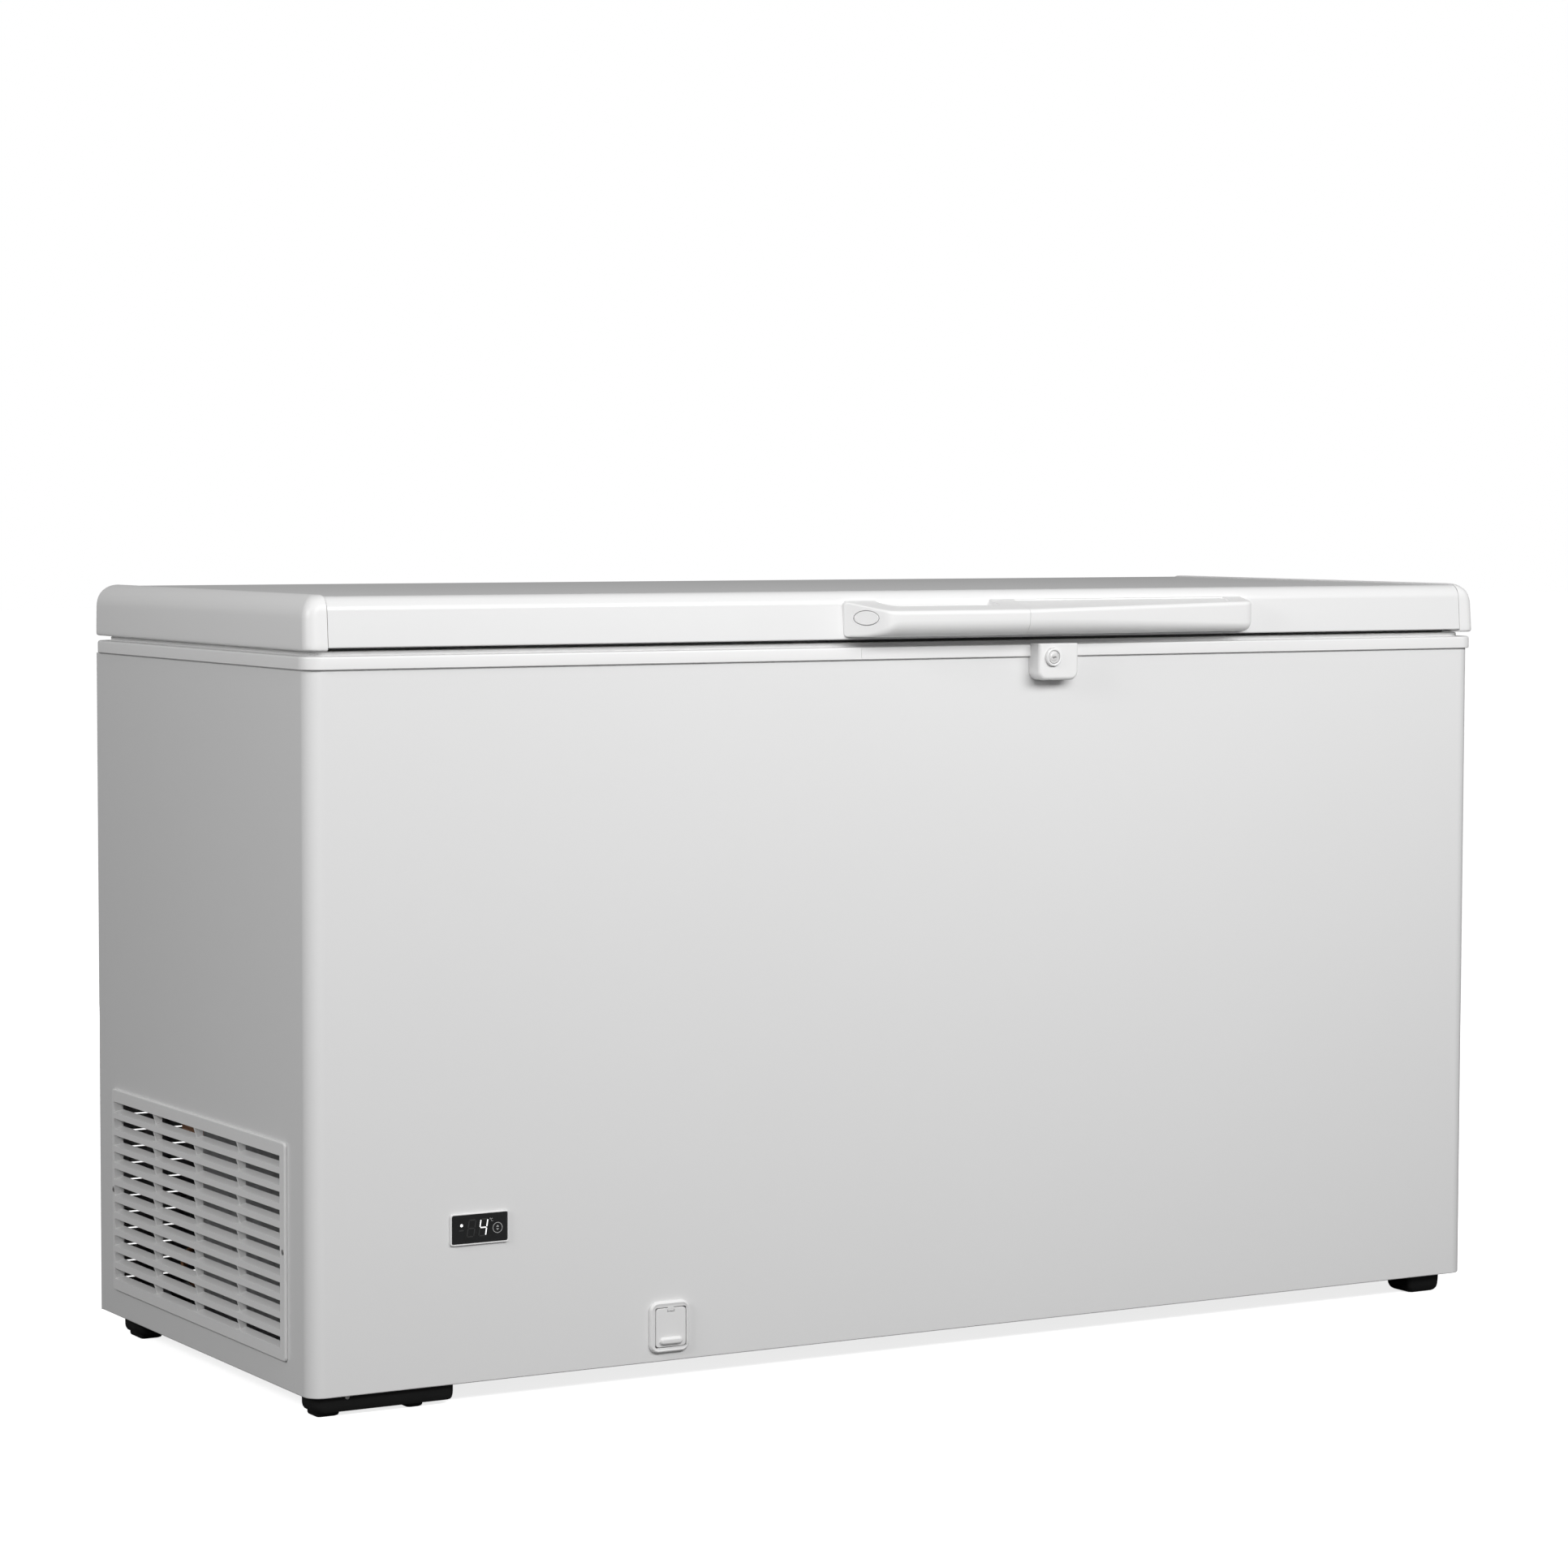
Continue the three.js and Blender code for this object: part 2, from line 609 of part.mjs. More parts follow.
for (const [side, x] of [['left', -hingeX], ['right', hingeX]]) {
  addPiece(cabinet, `hinge_base_${side}`, makeHingeBase(), steel).position.x = x;
  const pin = rod('x', pinRadius, [-29, hingeY, hingeZ], 58, 16);
  addPiece(cabinet, `hinge_pin_${side}`, pin, steel).position.x = x;
  addPiece(lid, `hinge_arm_${side}`, makeHingeArm(), steel).position.x = x;
}

// ---- lid ----------------------------------------------------------------

// Section of the lid in Y and Z, shrunk by inset on every side but the bottom.
function lidSection(inset, bottom, top) {
  const front = -lidHalfY + inset;
  const rear = lidHalfY - inset;
  const radius = lidEdge - inset;
  const shape = new THREE.Shape();
  shape.moveTo(front, bottom);
  shape.lineTo(rear, bottom);
  shape.lineTo(rear, top - inset - radius);
  shape.absarc(rear - radius, top - inset - radius, radius, 0, Math.PI / 2, false);
  shape.lineTo(front + lidLean + radius, top - inset);
  shape.absarc(front + lidLean + radius, top - inset - radius, radius, Math.PI / 2, Math.PI, false);
  return shape;
}

const hemWidth = 10;
const skinSolid = alongX(lidSection(0, lidBottom, lidTop), -capSeam + gap, capSeam - gap)
  .subtract(alongX(lidSection(sheet, lidBottom + sheet, lidTop), -800, 800))
  .subtract(block(-800, 800, -lidHalfY + hemWidth, lidHalfY - hemWidth, 790, 815));
addPiece(lid, 'lid_skin', skinSolid, whitePaint);

const tubX = 688;
const tubY = 220;
const tubBottom = 786;
const panelWall = 1.6;
const lidFoamSolid = alongX(lidSection(sheet + 0.4, 806.9, lidTop), -capSeam + 1, capSeam - 1)
  .add(plate(centredRect(tubX - 2, tubY - 2, 28), tubBottom + panelWall + 0.4, 812));
addPiece(lid, 'lid_foam', lidFoamSolid, foam);

const innerPanelSolid = plate(centredRect(capSeam - 1, 288.4, 4), 804.8, 806.4)
  .add(plate(centredRect(tubX, tubY, 30), tubBottom, 806.4))
  .subtract(plate(centredRect(tubX - panelWall, tubY - panelWall, 28.4), tubBottom + panelWall, 820));
addPiece(lid, 'lid_inner_panel', innerPanelSolid, whitePlastic);

const gasketSolid = plate(centredRect(742, 275, 14), rimTop + gap, 804.5)
  .subtract(plate(centredRect(726, 259, 8), 790, 820));
addPiece(lid, 'lid_gasket', gasketSolid, greyRubber);

// The end cap's shape is where three outlines meet: the lid section, an end view and a plan.
function capForm(inset) {
  const outer = lidHalfX - inset;
  const top = capTop - inset;
  const round = 20 - inset;
  const section = lidSection(inset, capBottom, capTop);
  const end = new THREE.Shape();
  end.moveTo(0, 780);
  end.lineTo(outer, 780);
  end.lineTo(outer, top - 24);
  end.absellipse(outer - round, top - 24, round, 24, 0, Math.PI / 2, false);
  end.lineTo(0, top);
  const seam = capSeam + gap;
  return alongX(section, seam - inset, 800)
    .intersect(alongY(end, -320, 320))
    .intersect(plate(centredRect(outer, lidHalfY - inset, 13 - inset), 780, 880));
}

function makeCap() {
  const seam = capSeam + gap;
  const hollow = capForm(2.5).intersect(block(700, 900, -400, 400, 808, 900));
  return capForm(0)
    .subtract(hollow)
    .subtract(block(700, 755, -287, 287, 790, 804.9))
    .intersect(block(seam, 900, -400, 400, 700, 900));
}

const capSolid = makeCap();
addPiece(lid, 'right_end_cap', capSolid, whitePlastic);
addPiece(lid, 'left_end_cap', capSolid.rotate([0, 0, 180]).mirror([0, 1, 0]), whitePlastic);

// ---- lid handle ---------------------------------------------------------

// Section of the handle in Y and Z: it lies against the leaning lid front, slopes down
// outwards on top, has a rounded nose and rolls back underneath.
function handleSection() {
  const shape = new THREE.Shape();
  shape.moveTo(-lidHalfY - gap + 0.4, handleBottom);
  shape.lineTo(-295.4, 843);
  shape.lineTo(-294.8, handleTop);
  shape.lineTo(-318, 843);
  shape.lineTo(-331, 839.5);
  shape.quadraticCurveTo(handleReach, 837, handleReach, 829);
  shape.quadraticCurveTo(handleReach + 1, 814, -326, 810.5);
  shape.quadraticCurveTo(-314, 807.8, -lidHalfY - gap + 0.4, handleBottom);
  return shape;
}

const handleBody = alongX(handleSection(), handleLeft - 5, handleRight + 5);
const rampRun = 36;
const plugAngle = Math.atan2(lidHalfY + handleReach, rampRun);

// Oval disc that lies in the ramp face of the grip.
function rampOval(radius, height, front, depth) {
  const geometry = new THREE.CylinderGeometry(radius, radius, depth, 24);
  geometry.scale(1, 1, height / radius);
  geometry.translate(0, -depth / 2 - front, 0);
  const solid = toSolid(geometry);
  const along = 28;
  return solid
    .rotate([180, 0, 0])
    .rotate([0, 0, THREE.MathUtils.radToDeg(plugAngle)])
    .translate([
      handleLeft + along * Math.cos(plugAngle),
      -lidHalfY + along * Math.sin(plugAngle),
      828.7,
    ]);
}

function makeGrip() {
  const outline = polygon([
    [handleLeft, -lidHalfY], [handleLeft + rampRun, handleReach], [handleSeam - gap, handleReach],
    [handleSeam - gap, -290], [handleLeft, -290],
  ]);
  const fingerGap = roundedRect(-80, 70.5, handleReach + 20, -280, 8);
  return handleBody
    .intersect(plate(outline, 700, 900))
    .subtract(plate(fingerGap, 700, 900))
    .subtract(rampOval(16.3, 8.6, -1, 4.5));
}

addPiece(lid, 'handle_grip', makeGrip(), whitePlastic);
addPiece(lid, 'handle_plug', rampOval(16, 8.3, 0, 3), whitePlastic);

function makeHandleCover() {
  const outline = new THREE.Shape();
  outline.moveTo(handleSeam, -290);
  outline.lineTo(handleSeam, handleReach);
  outline.lineTo(handleRight - 16, -319);
  outline.quadraticCurveTo(handleRight, -318, handleRight, -303);
  outline.lineTo(handleRight, -290);
  return handleBody
    .intersect(plate(outline, 700, 900))
    .subtract(block(lockX - 7, lockX + 21, lockFace + 6, lockFace + 14, 790, 816));
}

addPiece(lid, 'handle_cover', makeHandleCover(), whitePlastic);

// ---- compressor bay -----------------------------------------------------

const compressorX = -620;
const compressorY = 165;
const trayZ = baseZ1 + gap;

addPiece(bay, 'compressor_tray', block(-735, -500, 60, 270, trayZ, trayZ + 2), galvanised);

const mountTop = 44.5;
[[-690, 95], [-550, 95], [-690, 235], [-550, 235]].forEach(([x, y], index) => {
  const mount = rod('z', 11, [0, 0, 0], mountTop - trayZ - 2 - gap, 14);
  addPiece(bay, `compressor_mount_${index + 1}`, mount, blackRubber).position.set(x, y, trayZ + 2 + gap);
});

function makeCompressor() {
  const shellBottom = 50;
  const shellTop = 228;
  const mid = (shellBottom + shellTop) / 2;
  const radius = 78;
  const rise = (shellTop - shellBottom) / 2;
  const profile = [new THREE.Vector2(0, shellBottom)];
  for (let step = 1; step < 12; step += 1) {
    const angle = -Math.PI / 2 + (Math.PI * step) / 12;
    const bulge = Math.sign(Math.sin(angle)) * Math.abs(Math.sin(angle)) ** 0.8;
    profile.push(new THREE.Vector2(radius * Math.cos(angle) ** 0.45, mid + rise * bulge));
  }
  profile.push(new THREE.Vector2(0, shellTop));
  const shell = new THREE.LatheGeometry(profile, 20);
  shell.rotateX(Math.PI / 2);
  const foot = plate(centredRect(82, 82, 14), mountTop + gap, mountTop + gap + 3);
  const seam = rod('z', 80.5, [0, 0, mid - 3], 6, 20);
  const neck = rod('z', 50, [0, 0, 47], 20, 16);
  return toSolid(shell).add(foot).add(seam).add(neck);
}

addPiece(bay, 'compressor', makeCompressor(), blackPaint).position.set(compressorX, compressorY, 0);
addPiece(bay, 'relay_cover', block(-645, -595, 58, 84, 108, 168), blackPlastic);

const coil = { x0: -742, x1: -704, y0: -215, y1: 40, z0: 48, z1: 278 };
const coilX = (coil.x0 + coil.x1) / 2;
const coilTubeZ = [75, 165, 255];

function makeCondenser() {
  const finCount = 9;
  const finPitch = (coil.y1 - coil.y0) / (finCount - 1);
  let pack = rod('y', 4, [coilX, coil.y0 - 8, coilTubeZ[0]], coil.y1 - coil.y0 + 20, 8);
  coilTubeZ.forEach((z, index) => {
    const last = index === coilTubeZ.length - 1;
    pack = pack.add(rod('y', 4, [coilX, coil.y0 - 8, z], coil.y1 - coil.y0 + (last ? 20 : 16), 8));
    const bendY = index % 2 ? coil.y1 + 4 : coil.y0 - 8;
    if (!last) pack = pack.add(rod('z', 4, [coilX, bendY, z], coilTubeZ[index + 1] - z, 8));
  });
  for (let fin = 0; fin < finCount; fin += 1) {
    const y = coil.y0 + fin * finPitch;
    pack = pack.add(block(coil.x0, coil.x1, y - 0.5, y + 0.5, coil.z0, coil.z1));
  }
  return pack;
}

addPiece(bay, 'condenser', makeCondenser(), aluminium);

const fanY = -87.5;
const fanZ = 160;
const shroudX = -700;

const shroudSolid = block(shroudX, shroudX + 2, coil.y0, coil.y1, coil.z0, coil.z1)
  .add(rod('x', 92, [shroudX, fanY, fanZ], 24, 28))
  .subtract(rod('x', 89, [shroudX - 5, fanY, fanZ], 40, 28));
addPiece(bay, 'fan_shroud', shroudSolid, galvanised);

const bracketX = -652;
const bracketSolid = block(bracketX, bracketX + 3, fanY - 14, fanY + 14, coil.z0 + 6, coil.z1 - 6)
  .add(block(shroudX + 2 + gap, bracketX + 1, fanY - 14, fanY + 14, coil.z0 + 6, coil.z0 + 9))
  .add(block(shroudX + 2 + gap, bracketX + 1, fanY - 14, fanY + 14, coil.z1 - 9, coil.z1 - 6))
  .subtract(rod('x', 5, [bracketX - 5, fanY, fanZ], 20, 12));
addPiece(bay, 'fan_bracket', bracketSolid, galvanised);

const motorSolid = rod('x', 30, [bracketX + 3 + gap, fanY, fanZ], 38, 24)
  .add(rod('x', 3, [-684, fanY, fanZ], 40, 12));
addPiece(bay, 'fan_motor', motorSolid, blackPaint);

function makeFanRotor() {
  const bladeCount = 5;
  const blade = new THREE.Shape();
  blade.moveTo(-14, 16);
  blade.lineTo(-30, 70);
  blade.quadraticCurveTo(0, 90, 30, 70);
  blade.lineTo(14, 16);
  let rotor = rod('z', 22, [0, 0, -9], 18, 20);
  for (let index = 0; index < bladeCount; index += 1) {
    const geometry = extrude(blade, 2);
    geometry.translate(0, 0, -1);
    geometry.rotateY(THREE.MathUtils.degToRad(24));
    geometry.rotateZ((2 * Math.PI * index) / bladeCount);
    rotor = rotor.add(toSolid(geometry));
  }
  return rotor.subtract(rod('z', 3.3, [0, 0, -20], 40, 12)).rotate([0, 90, 0]);
}

const fanRotor = addPiece(freezer, 'fan_rotor', makeFanRotor(), blackPlastic);
fanRotor.position.set(-675, fanY, fanZ);

addPiece(bay, 'discharge_pipe', tube([
  [compressorX - 81, 150, 110], [-716, 150, 108], [coilX, 146, 92], [coilX, 120, 78], [coilX, 53, 75],
], 4, 4, 14), copper);
addPiece(bay, 'suction_pipe', tube([
  [compressorX + 81, 165, 150], [-528, 165, 152], [-518, 165, 170], [-518, 165, 303.4],
], 4, 4, 12), copper);

const drierProfile = [[0, 0], [4, 0], [5, 8], [10, 18], [10, 72], [5, 82], [3, 88], [0, 88]];
const drierShape = new THREE.LatheGeometry(drierProfile.map(([r, z]) => new THREE.Vector2(r, z)), 14);
addPiece(bay, 'filter_drier', toSolid(drierShape), copper).position.set(coilX, 52.6, 255);
addPiece(bay, 'capillary_tube', tube([
  [coilX, 141, 255], [coilX, 165, 256], [coilX, 176, 268], [coilX, 178, 303.4],
], 1.5, 2, 12), copper);

export default freezer;
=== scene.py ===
"""Commercial chest freezer with one hinged solid lid: the finished look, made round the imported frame."""

import contextlib
import math

import bmesh
import bpy
from mathutils import Matrix, Vector


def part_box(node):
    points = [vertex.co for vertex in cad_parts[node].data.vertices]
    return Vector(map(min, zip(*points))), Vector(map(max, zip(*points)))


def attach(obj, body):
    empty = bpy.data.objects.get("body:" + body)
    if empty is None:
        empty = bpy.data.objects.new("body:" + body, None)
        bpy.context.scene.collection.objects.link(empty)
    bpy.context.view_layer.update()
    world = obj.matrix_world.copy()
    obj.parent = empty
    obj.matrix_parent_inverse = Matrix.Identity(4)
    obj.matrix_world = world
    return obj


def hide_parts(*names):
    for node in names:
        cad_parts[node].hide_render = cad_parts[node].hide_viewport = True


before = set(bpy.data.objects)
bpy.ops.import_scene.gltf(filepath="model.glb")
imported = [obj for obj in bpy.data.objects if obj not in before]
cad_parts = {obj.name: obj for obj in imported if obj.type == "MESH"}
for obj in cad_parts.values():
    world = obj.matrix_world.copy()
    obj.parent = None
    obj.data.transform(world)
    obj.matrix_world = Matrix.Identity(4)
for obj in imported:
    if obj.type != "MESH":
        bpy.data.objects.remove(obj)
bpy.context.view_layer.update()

MM = 0.001                      # every size below is in millimetres


class Span:
    """The box of a part of the frame, in millimetres."""

    def __init__(self, node):
        low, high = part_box(node)
        self.x0, self.y0, self.z0 = low / MM
        self.x1, self.y1, self.z1 = high / MM
        self.x, self.y, self.z = (low + high) / 2 / MM


# ---- camera, light and floor ------------------------------------------------

def place_camera():
    """Long lens, from the left of the front and just above the lid."""
    yaw, pitch, roll = math.radians(30.281), math.radians(3.670), math.radians(0.142)
    ahead = Vector((math.sin(yaw) * math.cos(pitch), math.cos(yaw) * math.cos(pitch), -math.sin(pitch)))
    level = Vector((math.cos(yaw), -math.sin(yaw), 0))
    above = level.cross(ahead)
    right = math.cos(roll) * level + math.sin(roll) * above
    up = math.cos(roll) * above - math.sin(roll) * level
    bpy.ops.object.camera_add()
    camera = bpy.context.object
    camera.name = "photographer"
    turn = Matrix((right, up, -ahead)).transposed().to_4x4()
    camera.matrix_world = Matrix.Translation((-2.5911, -4.3973, 0.9619)) @ turn
    camera.data.lens = 99.67
    camera.data.sensor_width = 36
    camera.data.clip_end = 100
    bpy.context.scene.camera = camera


def add_softbox(name, place, target, width, height, power):
    """An oblong area light that looks at a point; metres and watts."""
    bpy.ops.object.light_add(type="AREA", location=place)
    lamp = bpy.context.object
    lamp.name = name
    lamp.rotation_euler = (Vector(target) - Vector(place)).to_track_quat("-Z", "Y").to_euler()
    lamp.data.shape = "RECTANGLE"
    lamp.data.size = width
    lamp.data.size_y = height
    lamp.data.energy = power


def light_the_studio():
    add_softbox("key_softbox", (0.3, -2.4, 1.85), (0.05, 0, 0.6), 3.0, 0.8, 58)
    add_softbox("fill_softbox", (-3.3, -1.1, 1.85), (-0.77, 0, 0.6), 1.0, 1.0, 36)
    add_softbox("rear_softbox", (1.4, 2.8, 0.45), (0.1, 0.3, 0.45), 2.4, 0.7, 16)
    world = bpy.data.worlds.new("studio_white")
    bpy.context.scene.world = world
    world.use_nodes = True
    nodes, links = world.node_tree.nodes, world.node_tree.links
    backdrop = nodes["Background"]
    backdrop.inputs["Color"].default_value = (1, 1, 1, 1)
    path = nodes.new("ShaderNodeLightPath")
    level = nodes.new("ShaderNodeMapRange")
    level.inputs["To Min"].default_value = 0.25
    level.inputs["To Max"].default_value = 1.0
    links.new(path.outputs["Is Camera Ray"], level.inputs["Value"])
    links.new(level.outputs["Result"], backdrop.inputs["Strength"])
    bpy.context.scene.view_settings.view_transform = "Standard"


# ---- modelling steps --------------------------------------------------------

def activate(piece):
    bpy.ops.object.select_all(action="DESELECT")
    piece.select_set(True)
    bpy.context.view_layer.objects.active = piece


@contextlib.contextmanager
def editing(piece, element="FACE"):
    """Edit mode on one piece, with nothing selected; gives its edit mesh."""
    activate(piece)
    bpy.ops.object.mode_set(mode="EDIT")
    bpy.ops.mesh.select_mode(type=element)
    bpy.ops.mesh.select_all(action="DESELECT")
    yield bmesh.from_edit_mesh(piece.data)
    bpy.ops.object.mode_set(mode="OBJECT")


def pick_faces(mesh, test):
    """Selects the faces whose centre, in millimetres, and normal pass the test."""
    for face in mesh.faces:
        if test(face.calc_center_median() / MM, face.normal):
            face.select_set(True)


def pick_edges(mesh, test):
    """Selects the edges whose two ends, in millimetres, pass the test."""
    for edge in mesh.edges:
        start, end = (vert.co / MM for vert in edge.verts)
        if test(start, end):
            edge.select_set(True)


def near(value, target):
    return abs(value - target) < 0.02


def block(name, x0, x1, y0, y1, z0, z1):
    """A closed block in its place, from which a piece is shaped."""
    bpy.ops.object.select_all(action="DESELECT")
    middle = Vector((x0 + x1, y0 + y1, z0 + z1)) * MM / 2
    bpy.ops.mesh.primitive_cube_add(size=1, location=middle,
                                    scale=((x1 - x0) * MM, (y1 - y0) * MM, (z1 - z0) * MM))
    piece = bpy.context.object
    piece.name = piece.data.name = name
    bpy.ops.object.transform_apply(location=True, rotation=True, scale=True)
    return piece


# Where an outline's u, v and height point for each side that it can face.
FACING = {
    "up": Matrix(((1, 0, 0), (0, 1, 0), (0, 0, 1))),
    "down": Matrix(((1, 0, 0), (0, -1, 0), (0, 0, -1))),
    "front": Matrix(((1, 0, 0), (0, 0, -1), (0, 1, 0))),
    "back": Matrix(((-1, 0, 0), (0, 0, 1), (0, 1, 0))),
    "left": Matrix(((0, 0, -1), (-1, 0, 0), (0, 1, 0))),
    "right": Matrix(((0, 0, 1), (1, 0, 0), (0, 1, 0))),
}


def place_ring(piece, ring, facing):
    """Moves the newest vertices to the points of a ring."""
    mesh = bmesh.from_edit_mesh(piece.data)
    mesh.verts.ensure_lookup_table()
    for vert, point in zip(mesh.verts[-len(ring):], ring):
        vert.co = FACING[facing] @ Vector(point) * MM
    bmesh.update_edit_mesh(piece.data)


def cap_ring(piece, first, count):
    """Closes the ring of vertices that starts at a number."""
    bpy.ops.mesh.select_all(action="DESELECT")
    mesh = bmesh.from_edit_mesh(piece.data)
    mesh.verts.ensure_lookup_table()
    for vert in mesh.verts[first:first + count]:
        vert.select_set(True)
    mesh.select_flush(True)
    bpy.ops.mesh.edge_face_add()


def skin_over(name, rings, facing="up", closed=False):
    """A skin extruded ring by ring over outlines of equally many points (u, v, height).
    It is capped at both ends, or closed on itself like a tyre."""
    count = len(rings[0])
    bpy.ops.object.select_all(action="DESELECT")
    bpy.ops.mesh.primitive_circle_add(vertices=count, radius=MM)
    piece = bpy.context.object
    piece.name = piece.data.name = name
    with editing(piece, "VERT"):
        bpy.ops.mesh.select_all(action="SELECT")
        place_ring(piece, rings[0], facing)
        for ring in rings[1:] + (rings[:1] if closed else []):
            bpy.ops.mesh.extrude_edges_move()
            place_ring(piece, ring, facing)
        if not closed:
            cap_ring(piece, 0, count)
            cap_ring(piece, count * (len(rings) - 1), count)
        bpy.ops.mesh.select_all(action="SELECT")
        bpy.ops.mesh.remove_doubles(threshold=0.002 * MM)
        bpy.ops.mesh.normals_make_consistent(inside=False)
    return piece


def arc(centre_u, centre_v, radius_u, radius_v, start, end, steps):
    """Points on a round or oval arc; angles in degrees."""
    points = []
    for step in range(steps + 1):
        angle = math.radians(start + (end - start) * step / steps)
        points.append((centre_u + radius_u * math.cos(angle), centre_v + radius_v * math.sin(angle)))
    return points


def rounded_rect(u0, u1, v0, v1, radius, height, steps=6):
    """A rectangle with rounded corners, at one height."""
    corners = (
        arc(u0 + radius, v0 + radius, radius, radius, 180, 270, steps)
        + arc(u1 - radius, v0 + radius, radius, radius, 270, 360, steps)
        + arc(u1 - radius, v1 - radius, radius, radius, 0, 90, steps)
        + arc(u0 + radius, v1 - radius, radius, radius, 90, 180, steps)
    )
    return [(u, v, height) for u, v in corners]


def centred_rect(half_u, half_v, radius, height, steps=6):
    return rounded_rect(-half_u, half_u, -half_v, half_v, radius, height, steps)


def circle(centre_u, centre_v, radius, height, steps=40):
    round_once = arc(centre_u, centre_v, radius, radius, 0, 360 - 360 / steps, steps - 1)
    return [(u, v, height) for u, v in round_once]


def prism(name, outline, height0, height1, facing):
    """An outline of (u, v) raised from one height to another."""
    return skin_over(name, [[(u, v, height) for u, v in outline] for height in (height0, height1)], facing)


def rod(name, centre_u, centre_v, radius, height0, height1, facing, ease=0, steps=32):
    """A round bar; ease is the small radius of its two rims."""
    rings = [circle(centre_u, centre_v, radius, height0 + ease, steps),
             circle(centre_u, centre_v, radius, height1 - ease, steps)]
    if ease:
        rings.insert(0, circle(centre_u, centre_v, radius - ease, height0, steps))
        rings.append(circle(centre_u, centre_v, radius - ease, height1, steps))
    return skin_over(name, rings, facing)


def turned(name, centre_u, centre_v, profile, facing, closed=False, steps=40):
    """A body of revolution through (radius, height) points."""
    rings = [circle(centre_u, centre_v, radius, height, steps) for radius, height in profile]
    return skin_over(name, rings, facing, closed)


def pipe(name, path, radius, steps=12):
    """A round pipe along points in millimetres."""
    points = [Vector(point) for point in path]
    rings = []
    side = None
    for number, point in enumerate(points):
        along = (points[min(number + 1, len(points) - 1)] - points[max(number - 1, 0)]).normalized()
        if side is None:
            side = along.orthogonal().normalized()
        side = (side - along * side.dot(along)).normalized()
        other = along.cross(side)
        rings.append([point + radius * (side * u + other * v) for u, v, _ in circle(0, 0, 1, 0, steps)])
    return skin_over(name, rings)


def apply(piece, modifier):
    activate(piece)
    bpy.ops.object.modifier_apply(modifier=modifier.name)


def combine(piece, operation, *tools):
    """Cuts each tool away from the piece, or joins it on, and uses the tool up."""
    for tool in tools:
        step = piece.modifiers.new("combine", "BOOLEAN")
        step.operation = operation
        step.solver = "EXACT"
        step.object = tool
        apply(piece, step)
        bpy.data.objects.remove(tool)
    return piece


def cut(piece, *tools):
    return combine(piece, "DIFFERENCE", *tools)


def weld(piece, *others):
    return combine(piece, "UNION", *others)


def gather(name, pieces):
    """Several loose bodies as one object."""
    activate(pieces[0])
    for piece in pieces:
        piece.select_set(True)
    bpy.ops.object.join()
    pieces[0].name = pieces[0].data.name = name
    return pieces[0]


def copied(piece, name, shift):
    """A copy with a mesh of its own, shifted in millimetres."""
    twin = piece.copy()
    twin.data = piece.data.copy()
    twin.name = twin.data.name = name
    bpy.context.scene.collection.objects.link(twin)
    twin.data.transform(Matrix.Translation(Vector(shift) * MM))
    return twin


def mirrored(piece, name):
    """The other hand of a piece, across the middle of the freezer."""
    twin = copied(piece, name, (0, 0, 0))
    twin.data.transform(Matrix.Diagonal((-1, 1, 1, 1)))
    twin.data.flip_normals()
    return twin


def bevel(piece, radius, segments, test):
    """Rounds the edges whose ends pass the test."""
    with editing(piece, "EDGE") as mesh:
        pick_edges(mesh, test)
        bpy.ops.mesh.bevel(offset=radius * MM, segments=segments, affect="EDGES", clamp_overlap=True)


def soften(piece, width, segments=2, angle=40):
    """Breaks every edge that is sharper than the angle."""
    step = piece.modifiers.new("soften", "BEVEL")
    step.width = width * MM
    step.segments = segments
    step.limit_method = "ANGLE"
    step.angle_limit = math.radians(angle)
    step.use_clamp_overlap = True
    apply(piece, step)
    return piece


def thicken(piece, wall):
    """Gives an open sheet its wall, inwards."""
    step = piece.modifiers.new("wall", "SOLIDIFY")
    step.thickness = wall * MM
    step.offset = -1
    step.use_even_offset = True
    apply(piece, step)
    return piece


def bisect(piece, point, normal):
    """Cuts away what lies on the normal's side of a plane and closes the cut."""
    with editing(piece):
        bpy.ops.mesh.select_all(action="SELECT")
        bpy.ops.mesh.bisect(plane_co=Vector(point) * MM, plane_no=normal, use_fill=True, clear_outer=True)


def finish(piece, material, body, slot, *replaced, smooth=35):
    """Shading, material and the body it rides on; the frame parts that it stands for are hidden. Its slot is
    not used.
    """
    activate(piece)
    bpy.ops.object.shade_smooth_by_angle(angle=math.radians(smooth))
    step = piece.modifiers.new("even_shading", "WEIGHTED_NORMAL")
    step.keep_sharp = True
    apply(piece, step)
    piece.data.materials.clear()
    piece.data.materials.append(material)
    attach(piece, body)
    if replaced:
        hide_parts(*replaced)
    return piece


# ---- materials --------------------------------------------------------------

class Signal:
    """The value of a socket, so that sums on it are written as sums."""

    def __init__(self, recipe, socket):
        self.recipe = recipe
        self.socket = socket

    def _math(self, operation, first, second):
        return self.recipe.node("ShaderNodeMath", {"operation": operation}, {0: first, 1: second})

    def __add__(self, other):
        return self._math("ADD", self, other)

    __radd__ = __add__

    def __mul__(self, other):
        return self._math("MULTIPLY", self, other)

    __rmul__ = __mul__


